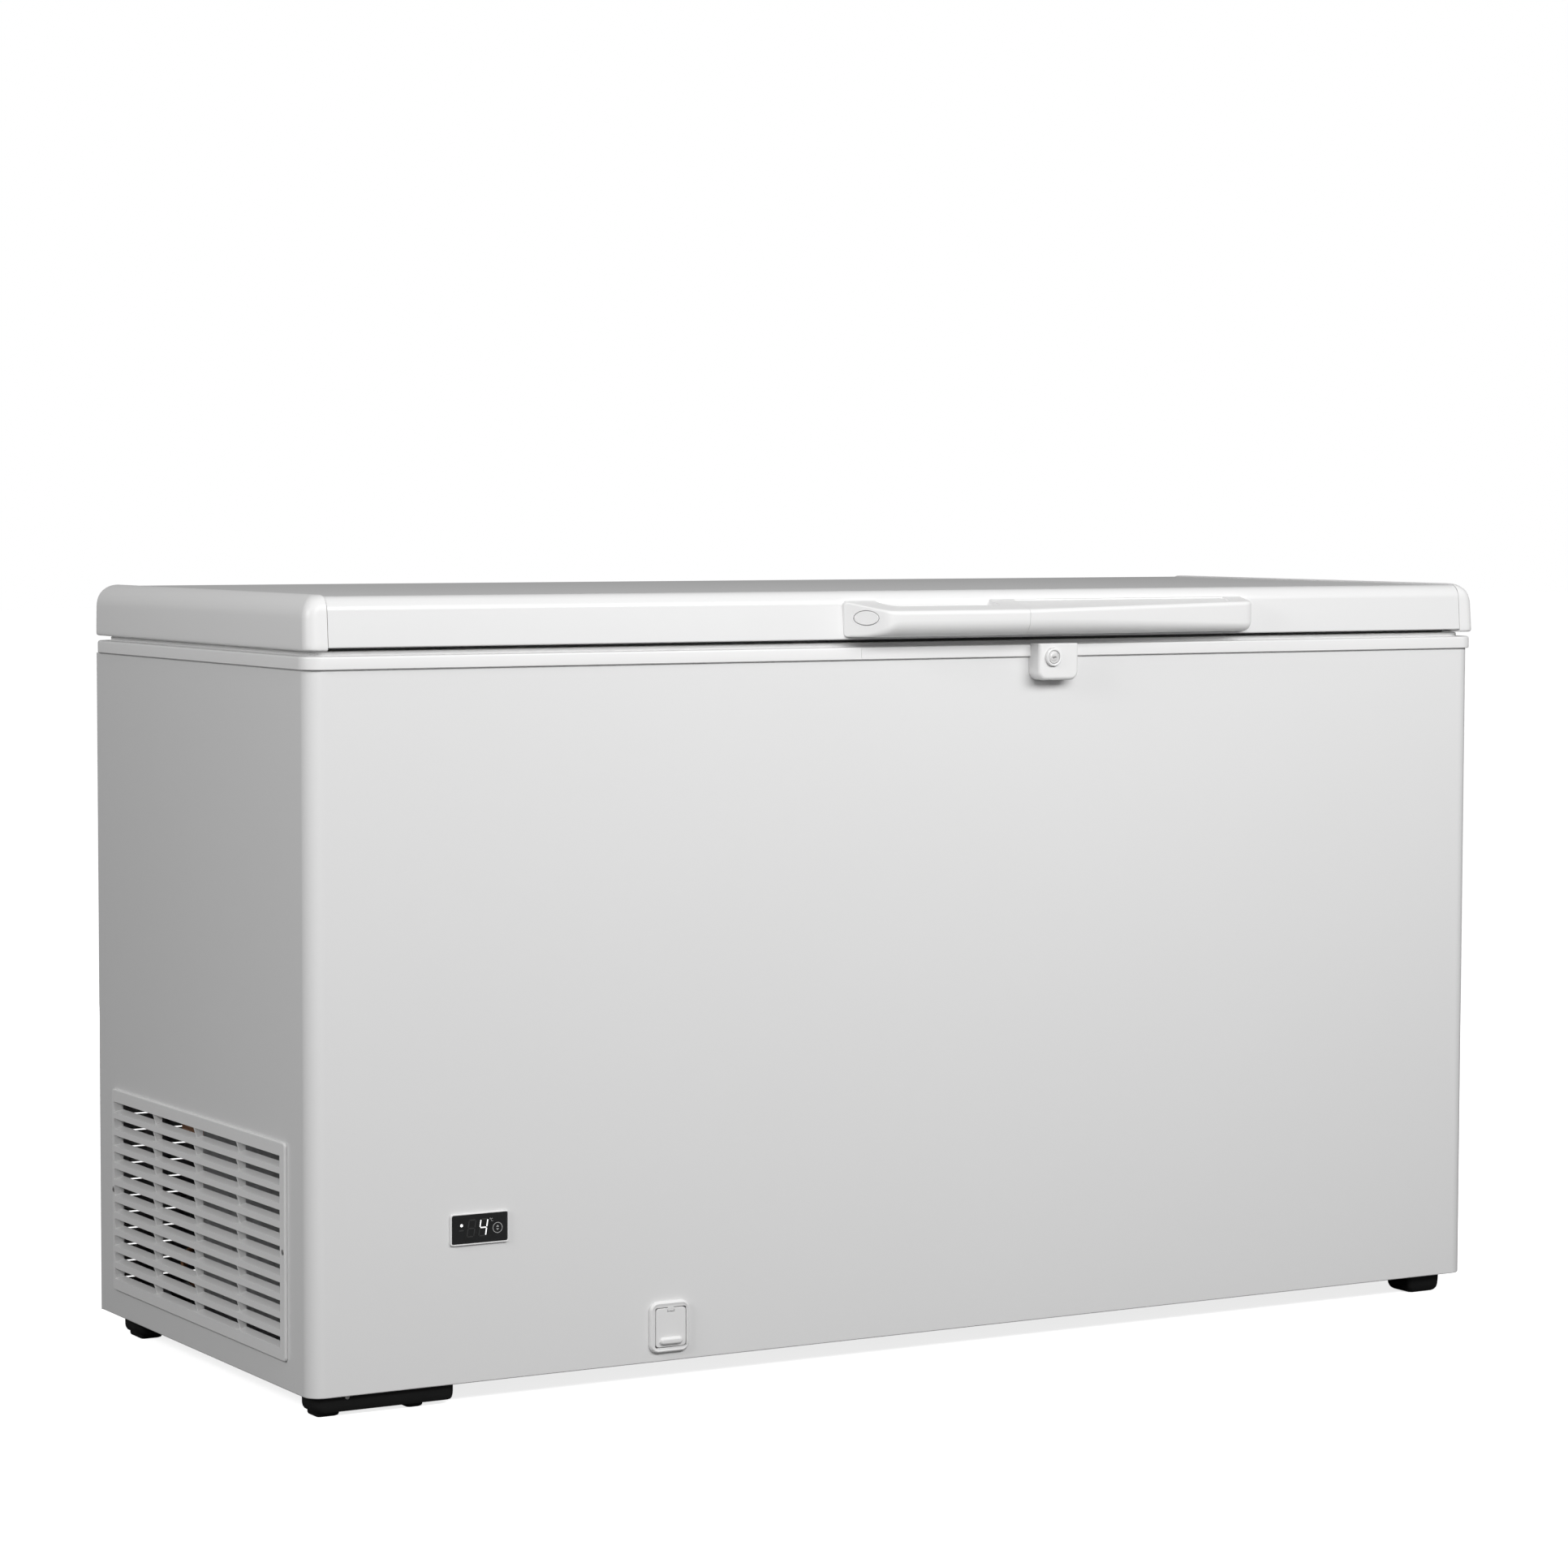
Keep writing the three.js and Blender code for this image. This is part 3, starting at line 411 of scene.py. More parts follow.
class Recipe:
    """A node material whose patterns lie in the freezer's own coordinates."""

    def __init__(self, name, color, roughness, metallic=0.0, **sockets):
        self.material = bpy.data.materials.new(name)
        self.material.use_nodes = True
        self.tree = self.material.node_tree
        self.shader = self.tree.nodes["Principled BSDF"]
        self.place = self.node("ShaderNodeTexCoord", out="Object")
        self.set(Base_Color=color, Roughness=roughness, Metallic=metallic, **sockets)

    def feed(self, socket, value):
        if isinstance(value, Signal):
            self.tree.links.new(value.socket, socket)
        elif isinstance(value, tuple) and len(value) == 3 and socket.type == "RGBA":
            socket.default_value = (*value, 1)
        else:
            socket.default_value = value

    def node(self, kind, settings=None, inputs=None, out=0):
        """Adds a node: its settings first, then its inputs."""
        made = self.tree.nodes.new(kind)
        for name, value in (settings or {}).items():
            setattr(made, name, value)
        for name, value in (inputs or {}).items():
            self.feed(made.inputs[name], value)
        return Signal(self, made.outputs[out])

    def set(self, **sockets):
        for name, value in sockets.items():
            self.feed(self.shader.inputs[name.replace("_", " ")], value)

    def noise(self, scale, detail=2.0, roughness=0.5, where=None):
        return self.node("ShaderNodeTexNoise", None, {
            "Vector": where or self.place, "Scale": scale, "Detail": detail, "Roughness": roughness})

    def stretched(self, x, y, z):
        return self.node("ShaderNodeMapping", None, {"Vector": self.place, "Scale": (x, y, z)})

    def blend(self, amount, low, high):
        return self.node("ShaderNodeMix", {"data_type": "RGBA"}, {0: amount, 6: low, 7: high}, out=2)

    def bump(self, height, strength, depth):
        """Relief of a depth in millimetres."""
        self.set(Normal=self.node("ShaderNodeBump", None,
                                  {"Height": height, "Strength": strength, "Distance": depth * MM}))


def grey(value, warm=0.0):
    return (value * (1 + warm), value, value * (1 - warm))


def make_white_paint():
    """Baked enamel on steel sheet: smooth, glossy, with a faint orange peel."""
    paint = Recipe("white_baked_enamel", grey(0.86), 0.3, Coat_Weight=0.25, Coat_Roughness=0.12)
    drift = paint.noise(2.2, 3)
    paint.set(Base_Color=paint.blend(drift, grey(0.85, 0.002), grey(0.872, -0.001)))
    paint.set(Roughness=0.27 + 0.07 * paint.noise(38, 4))
    paint.bump(paint.noise(330, 3, 0.45), 0.22, 0.08)
    return paint.material


def make_white_plastic():
    """Moulded plastic with a fine eroded grain."""
    plastic = Recipe("white_moulded_plastic", grey(0.88), 0.4)
    drift = plastic.noise(6, 3)
    plastic.set(Base_Color=plastic.blend(drift, grey(0.868, 0.003), grey(0.89, 0.001)))
    plastic.set(Roughness=0.36 + 0.1 * plastic.noise(60, 4))
    plastic.bump(plastic.noise(1500, 2), 0.18, 0.03)
    return plastic.material


def make_embossed_aluminium():
    """Rolled tank sheet with a stucco pattern."""
    sheet = Recipe("stucco_aluminium", grey(0.72, -0.01), 0.34, 1.0)
    swirl = sheet.noise(95, 1.5)
    cells = sheet.node("ShaderNodeTexVoronoi", {"feature": "SMOOTH_F1"},
                       {"Vector": sheet.place, "Scale": 130.0, "Smoothness": 0.6})
    relief = cells * 0.7 + swirl * 0.5
    sheet.set(Base_Color=sheet.blend(sheet.noise(5, 3), grey(0.66, -0.01), grey(0.76, -0.008)))
    sheet.set(Roughness=0.27 + 0.16 * swirl)
    sheet.bump(relief, 0.6, 0.5)
    return sheet.material


def make_galvanised():
    """Zinc-coated sheet with its spangle."""
    sheet = Recipe("galvanised_spangle", grey(0.55), 0.42, 0.9)
    spangle = sheet.node("ShaderNodeTexVoronoi", {"feature": "F1"}, {"Vector": sheet.place, "Scale": 110.0},
                         out="Color")
    tone = sheet.node("ShaderNodeSeparateColor", None, {"Color": spangle})
    sheet.set(Base_Color=sheet.blend(tone, grey(0.46, -0.02), grey(0.62, -0.01)))
    sheet.set(Roughness=0.34 + 0.18 * tone)
    sheet.bump(sheet.noise(420, 3), 0.15, 0.05)
    return sheet.material


def make_moulded_black(name, tone, roughness, grain):
    """Dark plastic or rubber, with a dull moulded grain."""
    dark = Recipe(name, grey(tone), roughness, Specular_IOR_Level=0.25)
    dark.set(Base_Color=dark.blend(dark.noise(24, 4), grey(tone * 0.75), grey(tone * 1.5)))
    dark.set(Roughness=roughness - 0.06 + 0.12 * dark.noise(90, 3))
    dark.bump(dark.noise(grain, 2), 0.35, 0.06)
    return dark.material


def make_seal():
    """Soft grey magnetic seal with a dusting of wear."""
    seal = Recipe("soft_grey_seal", grey(0.2), 0.62)
    seal.set(Base_Color=seal.blend(seal.noise(30, 4), grey(0.14), grey(0.26)))
    seal.set(Roughness=0.52 + 0.18 * seal.noise(80, 3))
    seal.bump(seal.noise(700, 2), 0.25, 0.05)
    return seal.material


def make_bright_steel():
    """Zinc-plated steel with fine drawn lines."""
    steel = Recipe("plated_steel", grey(0.68), 0.3, 1.0)
    lines = steel.noise(1.0, 3, 0.5, steel.stretched(60, 900, 900))
    steel.set(Base_Color=steel.blend(lines, grey(0.6, 0.01), grey(0.76, 0.006)))
    steel.set(Roughness=0.22 + 0.2 * lines)
    steel.bump(lines, 0.12, 0.04)
    return steel.material


def make_bright_nickel():
    """Satin nickel plating, turned in fine rings."""
    nickel = Recipe("satin_nickel", grey(0.86), 0.42, 0.55)
    rings = nickel.noise(1.0, 2, 0.5, nickel.stretched(500, 60, 500))
    nickel.set(Base_Color=nickel.blend(rings, grey(0.82, 0.006), grey(0.9, 0.004)))
    nickel.set(Roughness=0.36 + 0.14 * rings)
    nickel.bump(rings, 0.1, 0.03)
    return nickel.material


def make_display_glass():
    """Smoked window over the temperature display."""
    glass = Recipe("smoked_window", grey(0.012), 0.08, Coat_Weight=0.6, Coat_Roughness=0.03)
    glass.set(Base_Color=glass.blend(glass.noise(40, 2), grey(0.009, -0.03), grey(0.017, -0.03)))
    glass.set(Roughness=0.06 + 0.06 * glass.noise(120, 3))
    return glass.material


def make_display_light():
    """Lit segments, a little brighter in their middle."""
    light = Recipe("lit_segment", grey(0.9), 0.4, Emission_Strength=1.0)
    glow = light.noise(260, 2)
    light.set(Emission_Color=light.blend(glow, grey(0.72, -0.02), grey(1.0, -0.01)))
    return light.material


def make_display_ghost():
    """Unlit segments that show faintly through the window."""
    ghost = Recipe("unlit_segment", grey(0.045), 0.35)
    ghost.set(Base_Color=ghost.blend(ghost.noise(160, 2), grey(0.034), grey(0.05)))
    return ghost.material


def make_display_print():
    """Pale print on the window."""
    ink = Recipe("pale_print", grey(0.45), 0.5)
    ink.set(Base_Color=ink.blend(ink.noise(300, 2), grey(0.36), grey(0.52)))
    return ink.material


def make_foam():
    """Poured insulation foam with small cells."""
    foam = Recipe("poured_foam", (0.78, 0.7, 0.44), 0.9)
    foam.set(Base_Color=foam.blend(foam.noise(60, 5), (0.68, 0.58, 0.33), (0.84, 0.77, 0.52)))
    foam.bump(foam.noise(500, 3), 0.6, 0.4)
    return foam.material


def make_black_enamel():
    """Stoved black enamel on pressed steel."""
    enamel = Recipe("stoved_black_enamel", grey(0.02), 0.35, Coat_Weight=0.3)
    enamel.set(Base_Color=enamel.blend(enamel.noise(20, 4), grey(0.014), grey(0.03)))
    enamel.set(Roughness=0.28 + 0.16 * enamel.noise(50, 3))
    enamel.bump(enamel.noise(260, 3), 0.25, 0.08)
    return enamel.material


def make_copper():
    """Drawn copper pipe, browned where it has been hot."""
    copper = Recipe("drawn_copper", (0.72, 0.36, 0.2), 0.3, 1.0)
    stain = copper.noise(28, 5, 0.6)
    copper.set(Base_Color=copper.blend(stain, (0.42, 0.17, 0.08), (0.84, 0.46, 0.27)))
    copper.set(Roughness=0.22 + 0.28 * stain)
    return copper.material


PAINT = make_white_paint()
PLASTIC = make_white_plastic()
STUCCO = make_embossed_aluminium()
GALVANISED = make_galvanised()
BLACK_PLASTIC = make_moulded_black("black_moulded_plastic", 0.008, 0.5, 900)
BLACK_RUBBER = make_moulded_black("black_rubber", 0.014, 0.75, 600)
SEAL = make_seal()
STEEL = make_bright_steel()
NICKEL = make_bright_nickel()
WINDOW = make_display_glass()
LIT = make_display_light()
UNLIT = make_display_ghost()
PRINT = make_display_print()
FOAM = make_foam()
ENAMEL = make_black_enamel()
COPPER = make_copper()


# ---- cabinet shell ----------------------------------------------------------

WRAP = Span("cabinet_wrap")
RIM = Span("top_rim")
GRILLE = Span("side_grille")
BEZEL = Span("display_bezel")
DRAIN = Span("drain_plate")
SHEET = 1.0                     # painted steel
SLOT_MARGIN = 8.5               # grille frame outside its louvres
RIM_FLANGE = 782.0              # lower edge of the rim's outer flange


def make_cabinet_wrap():
    """One sheet bent round the two front corners, turned under at the bottom."""
    corner, hem = 18, 9
    wrap = block("wrap", WRAP.x0, WRAP.x1, WRAP.y0, WRAP.y1, WRAP.z0, WRAP.z1)
    bevel(wrap, corner, 14, lambda a, b: near(a.y, WRAP.y0) and near(b.y, WRAP.y0) and near(a.x, b.x))
    with editing(wrap) as mesh:
        pick_faces(mesh, lambda centre, normal: normal.z > 0.9 or normal.y > 0.9)
        bpy.ops.mesh.delete(type="FACE")
    with editing(wrap) as mesh:
        pick_faces(mesh, lambda centre, normal: normal.z < -0.9)
        bpy.ops.mesh.inset(thickness=hem * MM)
        bpy.ops.mesh.delete(type="FACE")
    bevel(wrap, 1.4, 3, lambda a, b: near(a.z, WRAP.z0) and near(b.z, WRAP.z0)
          and all(abs(p.x) > WRAP.x1 - corner - 1 or near(p.y, WRAP.y0) for p in (a, b))
          and not (abs(a.x) < WRAP.x1 - hem / 2 and a.y > WRAP.y0 + corner + 1)
          and outside_hem(a, corner, hem) and outside_hem(b, corner, hem))
    thicken(wrap, SHEET)
    screen, tap = 3, 3.5
    cut(wrap,
        block("cutter", WRAP.x0 - 5, WRAP.x0 + 5, GRILLE.y0 + SLOT_MARGIN, GRILLE.y1 - 3.2,
              GRILLE.z0 + SLOT_MARGIN, GRILLE.z1 - SLOT_MARGIN),
        block("cutter", BEZEL.x0 + screen, BEZEL.x1 - screen, WRAP.y0 - 5, WRAP.y0 + 5,
              BEZEL.z0 + screen, BEZEL.z1 - screen),
        block("cutter", DRAIN.x0 + tap, DRAIN.x1 - tap, WRAP.y0 - 5, WRAP.y0 + 5,
              DRAIN.z0 + tap, DRAIN.z1 - tap),
        block("cutter", WRAP.x0 - 5, WRAP.x1 + 5, WRAP.y1 - 24, WRAP.y1 + 5, RIM_FLANGE - 0.3, WRAP.z1 + 5))
    finish(wrap, PAINT, "cabinet", "white_paint", "cabinet_wrap")


def outside_hem(point, corner, hem):
    """True on the wrap's outer line in plan, not on the inner line of the hem."""
    away_x = abs(point.x) - (WRAP.x1 - corner)
    away_y = (WRAP.y0 + corner) - point.y
    if away_x > 0 and away_y > 0:
        return math.hypot(away_x, away_y) > corner - hem / 2
    return away_x > corner - hem / 2 or away_y > corner - hem / 2


def make_rear_panel():
    """Flat rear sheet with three pressed fields and the opening of the bay."""
    panel = Span("rear_panel")
    vent = Span("rear_vent_cover")
    back = block("rear_sheet", panel.x0, panel.x1, panel.y0, panel.y1, panel.z0, panel.z1)
    fields = [(-430, -60), (-30, 340), (370, 740)]
    low, high = 110, 640
    for side in (edge for field in fields for edge in field):
        with editing(back):
            bpy.ops.mesh.select_all(action="SELECT")
            bpy.ops.mesh.bisect(plane_co=(side * MM, 0, 0), plane_no=(1, 0, 0))
    for level in (low, high):
        with editing(back):
            bpy.ops.mesh.select_all(action="SELECT")
            bpy.ops.mesh.bisect(plane_co=(0, 0, level * MM), plane_no=(0, 0, 1))
    with editing(back) as mesh:
        pick_faces(mesh, lambda centre, normal: normal.y > 0.9 and low < centre.z < high
                   and any(start < centre.x < end for start, end in fields))
        bpy.ops.mesh.inset(thickness=5 * MM, depth=-0.7 * MM)
    margin = 8
    cut(back, block("cutter", vent.x0 + margin, vent.x1 - margin, 280, 300,
                    vent.z0 + margin, vent.z1 - margin))
    finish(back, PAINT, "cabinet", "white_paint", "rear_panel")


def make_bottom_panel():
    """Base sheet with a row of drain slots under the bay and two stiffening beads."""
    base = Span("bottom_panel")
    sheet = skin_over("base_sheet", [centred_rect(base.x1, base.y1, 17, height)
                                     for height in (base.z0, base.z1)])
    slots = []
    for slot in range(5):
        x = -720 + slot * 30
        slots.append(skin_over("cutter", [rounded_rect(x, x + 12, -200, -20, 5.5, height)
                                          for height in (15, 30)]))
    cut(sheet, gather("cutter", slots))
    beads = [skin_over("bead", [rounded_rect(-380, 640, y - 9, y + 9, 8.5, base.z0 + 0.2),
                                rounded_rect(-378, 638, y - 7, y + 7, 6.5, base.z0 - 0.9),
                                rounded_rect(-376, 636, y - 5, y + 5, 4.5, base.z0 - 1)], "up")
             for y in (-120, 120)]
    weld(sheet, *beads)
    finish(sheet, GALVANISED, "cabinet", "galvanised_sheet", "bottom_panel")


def make_rim():
    """Moulded rim: an outer flange, a shoulder, the raised sealing lip and a skirt in the mouth."""
    half_x, half_y, top = RIM.x1, RIM.y1, RIM.z1
    flange, shoulder, wall = RIM_FLANGE, 796.0, 2.5
    lip, skirt, mouth_x, mouth_y = 13.4, 2.2, 703.0, 233.5

    def outer(inset, height):
        radius = 20 - min(inset, lip) * 0.6
        return centred_rect(half_x - inset, half_y - inset, radius, height, 10)

    def mouth(inset, height):
        return centred_rect(mouth_x + inset, mouth_y + inset, 19 + inset, height, 10)

    rings = [
        outer(wall, flange), outer(0.7, flange), outer(0, flange + 0.8),
        outer(0, shoulder - 2.4), outer(0.6, shoulder - 0.8), outer(2.2, shoulder),
        outer(lip - 0.6, shoulder), outer(lip, shoulder + 0.6),
        outer(lip, top - 1.4), outer(lip + 0.5, top - 0.4), outer(lip + 1.6, top),
        mouth(2.6, top), mouth(0.7, top - 0.7), mouth(0, top - 2.4),
        mouth(0, RIM.z0 + 0.6), mouth(0.6, RIM.z0), mouth(skirt, RIM.z0),
        mouth(skirt, top - wall), outer(lip + wall, top - wall),
        outer(lip + wall, shoulder - wall), outer(wall, shoulder - wall),
    ]
    rim = skin_over("rim", rings, closed=True)
    joint = -98.5
    cut(rim, block("cutter", joint - 0.2, joint + 0.2, RIM.y0 - 2, RIM.y0 + 0.6,
                   RIM_FLANGE - 2, shoulder + 2))
    finish(rim, PLASTIC, "cabinet", "white_plastic", "top_rim")


# ---- side grille ------------------------------------------------------------

def make_grille():
    """Framed louvre panel: eleven slots between blades that climb inwards, and three upright ribs."""
    face, frame_back = GRILLE.x0, -WRAP.x1 - 0.3
    corner = 5

    def frame_ring(inset, x):
        return rounded_rect(-GRILLE.y1 + inset, -GRILLE.y0 - inset, GRILLE.z0 + inset, GRILLE.z1 - inset,
                            corner - inset, -x)

    grille = skin_over("grille", [
        frame_ring(0, frame_back), frame_ring(0, face + 1.6), frame_ring(0.35, face + 0.7),
        frame_ring(1.0, face + 0.15), frame_ring(1.8, face)], "left")
    core = block("core", face + 1, GRILLE.x1, GRILLE.y0 + SLOT_MARGIN, GRILLE.y1 - 3.5,
                 GRILLE.z0 + SLOT_MARGIN, GRILLE.z1 - 10.5)
    weld(grille, core)

    count, pitch, height, bottom = 11, 19.2, 12.2, 65.8
    start, end, ribs, rib = -225.0, 243.5, 3, 3.0
    climb = 2.9 / (GRILLE.x1 - GRILLE.x0)
    column = (end - start - ribs * rib) / (ribs + 1)
    gap = 0.03

    def slot_tool(z, y0, y1, outline):
        points = [(x, z + level + (x - face) * climb) for x, level in outline]
        return prism("cutter", points, -y1, -y0, "front")

    mouths, slots = [], []
    for slot in range(count):
        z = bottom + slot * pitch
        mouths.append(slot_tool(z, start + gap, end - gap, [
            (face - 2, gap), (face + 4.4, gap), (face + 0.9, height - gap), (face - 2, height - gap)]))
        for number in range(ribs + 1):
            y = start + number * (column + rib)
            slots.append(slot_tool(z, y, y + column, [
                (face - 2, 0), (GRILLE.x1 + 2, 0), (GRILLE.x1 + 2, height), (face - 2, height)]))
    relief = block("cutter", GRILLE.x1 - 1.4, GRILLE.x1 + 2, start - 1.5, end + 1.5, 63, 272)
    cut(grille, relief)
    cut(grille, gather("cutter", mouths))
    cut(grille, gather("cutter", slots))
    screws = [Span("grille_screw_front"), Span("grille_screw_rear")]
    cut(grille, *[rod("cutter", -screw.y, screw.z, 3.5, -face - 1.6, -face + 2, "left")
                  for screw in screws])
    soften(grille, 0.3, 2, 50)
    finish(grille, PLASTIC, "cabinet", "white_plastic", "side_grille")


def make_screw(name, centre_u, centre_v, radius, seat, facing):
    """Pan-head screw with a cross recess; seat is the height of the face that it sits on."""
    rise = radius * 0.42
    head = turned(name, centre_u, centre_v,
                  [(radius * 0.98, seat), (radius, seat + rise * 0.35), (radius * 0.86, seat + rise * 0.75),
                   (radius * 0.55, seat + rise * 0.95), (radius * 0.2, seat + rise)], facing, steps=24)
    arm, width = radius * 0.58, radius * 0.13
    for long_u, long_v in ((arm, width), (width, arm)):
        cut(head, skin_over("cutter", [rounded_rect(centre_u - long_u, centre_u + long_u, centre_v - long_v,
                                                    centre_v + long_v, width * 0.6, height, 1)
                                       for height in (seat + rise * 0.4, seat + rise * 2)], facing))
    return head


def make_grille_screws():
    for name in ("grille_screw_front", "grille_screw_rear"):
        place = Span(name)
        screw = make_screw(name + "_head", -place.y, place.z, 3.2, -place.x1, "left")
        finish(screw, STEEL, "cabinet", "screw_steel", name)


# ---- temperature display ----------------------------------------------------

GLASS = Span("display_glass")
WINDOW_FACE = GLASS.y0 + 0.7    # the window lies behind the frame's face


def front_rect(span, inset, y, corner):
    """A rounded outline inside a part's box, seen from the front, at one depth."""
    return rounded_rect(span.x0 + inset, span.x1 - inset, span.z0 + inset, span.z1 - inset,
                        max(corner - inset, 0.3), -y)


def make_display():
    face, seat = BEZEL.y0, WRAP.y0 - 0.3
    bezel = skin_over("display_frame", [
        front_rect(BEZEL, 0, seat, 3), front_rect(BEZEL, 0, face + 1.0, 3),
        front_rect(BEZEL, 0.2, face + 0.3, 3), front_rect(BEZEL, 0.6, face, 3),
        front_rect(BEZEL, 1.2, face + 0.05, 3.5), front_rect(BEZEL, 1.45, face + 0.3, 3.5),
        front_rect(BEZEL, 1.5, face + 1.5, 3.5), front_rect(BEZEL, 4.5, face + 1.5, 4),
        front_rect(BEZEL, 4.5, -286, 3.5), front_rect(BEZEL, 3, -286, 3), front_rect(BEZEL, 3, seat, 3),
    ], "front", closed=True)
    finish(bezel, PLASTIC, "cabinet", "white_plastic", "display_bezel")
    glass = skin_over("display_window", [
        front_rect(GLASS, 0.5, GLASS.y1 + 0.2, 2), front_rect(GLASS, 0.35, GLASS.y1 + 0.1, 2),
        front_rect(GLASS, 0.35, WINDOW_FACE + 0.15, 2), front_rect(GLASS, 0.5, WINDOW_FACE, 2),
    ], "front")
    finish(glass, WINDOW, "cabinet", "display_black", "display_glass")


def on_glass(share_u, share_v):
    """A point on the window from shares of its width and of its height from the top."""
    return (GLASS.x0 + share_u * (GLASS.x1 - GLASS.x0), GLASS.z1 - share_v * (GLASS.z1 - GLASS.z0))


def film(name, outline):
    """A thin layer lying on the window."""
    return prism(name, outline, -WINDOW_FACE - 0.05, -WINDOW_FACE + 0.06, "front")


def segment_bar(start, end, width):
    """Outline of one display segment: a bar with pointed ends."""
    begin, finish_at = Vector(start), Vector(end)
    along = (finish_at - begin).normalized()
    across = Vector((-along.y, along.x)) * width / 2
    tip = along * width / 2
    return [tuple(point) for point in (begin, begin + tip - across, finish_at - tip - across,
                                       finish_at, finish_at - tip + across, begin + tip + across)]


def digit_segments(centre_share, lit):
    """The seven slanting segments of one digit, as outlines, split into lit and unlit."""
    centre_u, top = on_glass(centre_share, 0.2)
    half, tall, lean, width, clear = 4.0, 17.6, 0.16, 1.2, 0.45

    def corner(side, level):
        drop = (2 - level) * tall / 2
        return (centre_u + side * half + (tall / 2 - drop) * lean, top - drop)

    ends = {
        "top": (corner(-1, 2), corner(1, 2)), "middle": (corner(-1, 1), corner(1, 1)),
        "bottom": (corner(-1, 0), corner(1, 0)),
        "upper_left": (corner(-1, 1), corner(-1, 2)), "upper_right": (corner(1, 1), corner(1, 2)),
        "lower_left": (corner(-1, 0), corner(-1, 1)), "lower_right": (corner(1, 0), corner(1, 1)),
    }
    shown, hidden = [], []
    for name, (start, end) in ends.items():
        along = (Vector(end) - Vector(start)).normalized() * clear
        bar = segment_bar(Vector(start) + along, Vector(end) - along, width)
        (shown if name in lit else hidden).append(bar)
    return shown, hidden


def make_display_marks():
    """The reading, the unlit segments and the printed symbols."""
    _, tens = digit_segments(0.355, ())
    units, spare = digit_segments(0.565, ("upper_left", "upper_right", "middle", "lower_right"))
    star_u, star_v = on_glass(0.18, 0.36)
    star = []
    for point in range(12):
        angle, reach = math.radians(30 * point + 90), 1.95 if point % 2 == 0 else 1.35
        star.append((star_u + reach * math.cos(angle), star_v + reach * math.sin(angle)))
    lit = [film("lit_segment", outline) for outline in [*units, star]]
    finish(gather("display_reading", lit), LIT, "cabinet", "display_black")

    minus_u, minus_v = on_glass(0.175, 0.53)
    minus = segment_bar((minus_u - 3.1, minus_v), (minus_u + 3.1, minus_v), 1.5)
    unlit = [film("unlit_segment", outline) for outline in [*tens, *spare, minus]]
    finish(gather("display_unlit_segments", unlit), UNLIT, "cabinet", "display_black")

    ring_u, ring_v = on_glass(0.82, 0.53)
    degree_u, degree_v = on_glass(0.69, 0.2)
    near_face, far_face = -WINDOW_FACE - 0.05, -WINDOW_FACE + 0.06

    def hoop(centre_u, centre_v, radius, width):
        inner = radius - width
        return turned("hoop", centre_u, centre_v, [
            (radius, near_face), (radius, far_face), (inner, far_face), (inner, near_face),
        ], "front", closed=True)

    letter = arc(degree_u + 2.2, degree_v - 1.3, 1.35, 1.7, 50, 310, 10)
    letter += arc(degree_u + 2.2, degree_v - 1.3, 0.9, 1.25, 310, 50, 10)
    up = [(ring_u - 1.7, ring_v + 0.8), (ring_u + 1.7, ring_v + 0.8), (ring_u, ring_v + 2.9)]
    down = [(ring_u + 1.7, ring_v - 0.8), (ring_u - 1.7, ring_v - 0.8), (ring_u, ring_v - 2.9)]
    prints = [hoop(ring_u, ring_v, 5.8, 0.65), hoop(degree_u, degree_v, 0.75, 0.35)]
    prints += [film("symbol", outline) for outline in (letter, up, down)]
    finish(gather("display_symbols", prints), PRINT, "cabinet", "display_black")


# ---- drain ------------------------------------------------------------------

DOOR = Span("drain_door")
TUBE = Span("drain_tube")
PIN_Y, PIN_Z = -296.9, 79.6     # the flap's pivot
PIN_RADIUS = 1.0


def make_drain_plate():
    """Frame plate with a bevelled rim, the cup behind its door, and the lug that holds the pin."""
    seat, face, floor = WRAP.y0 - 0.3, DRAIN.y0, -272.3
    clearance, cup, corner = 0.8, 2.8, 2.4

    def opening(grow, y):
        return rounded_rect(DOOR.x0 - clearance - grow, DOOR.x1 + clearance + grow,
                            DOOR.z0 - clearance - grow, DOOR.z1 + clearance + grow, corner + grow, -y)

    plate = skin_over("drain_frame", [
        opening(-0.2, floor), opening(0, face + 0.9), opening(0.2, face + 0.65), opening(0.6, face + 0.6),
        opening(2.0, face + 0.5), front_rect(DRAIN, 3.2, face + 0.25, 10), front_rect(DRAIN, 2.6, face, 10),
        front_rect(DRAIN, 1.5, face + 0.25, 10), front_rect(DRAIN, 0.5, face + 1.2, 10),
        front_rect(DRAIN, 0, face + 2.6, 10), front_rect(DRAIN, 0, seat, 10), opening(cup, seat),
        opening(cup, floor + 2),
    ], "front")
    lug = block("lug", TUBE.x - 4, TUBE.x + 4, face + 0.5, seat, DOOR.z1 - 3.6, DOOR.z1 + 2.5)
    bevel(lug, 0.4, 2, lambda a, b: near(a.y, face + 0.5) and near(b.y, face + 0.5))
    weld(plate, lug)
    cut(plate, rod("cutter", TUBE.x, 52, 9.4, 260, 285, "front"),
        rod("cutter", PIN_Y, PIN_Z, PIN_RADIUS + 0.15, TUBE.x - 5, TUBE.x + 5, "right", steps=16))
    finish(plate, PLASTIC, "cabinet", "white_plastic", "drain_plate")


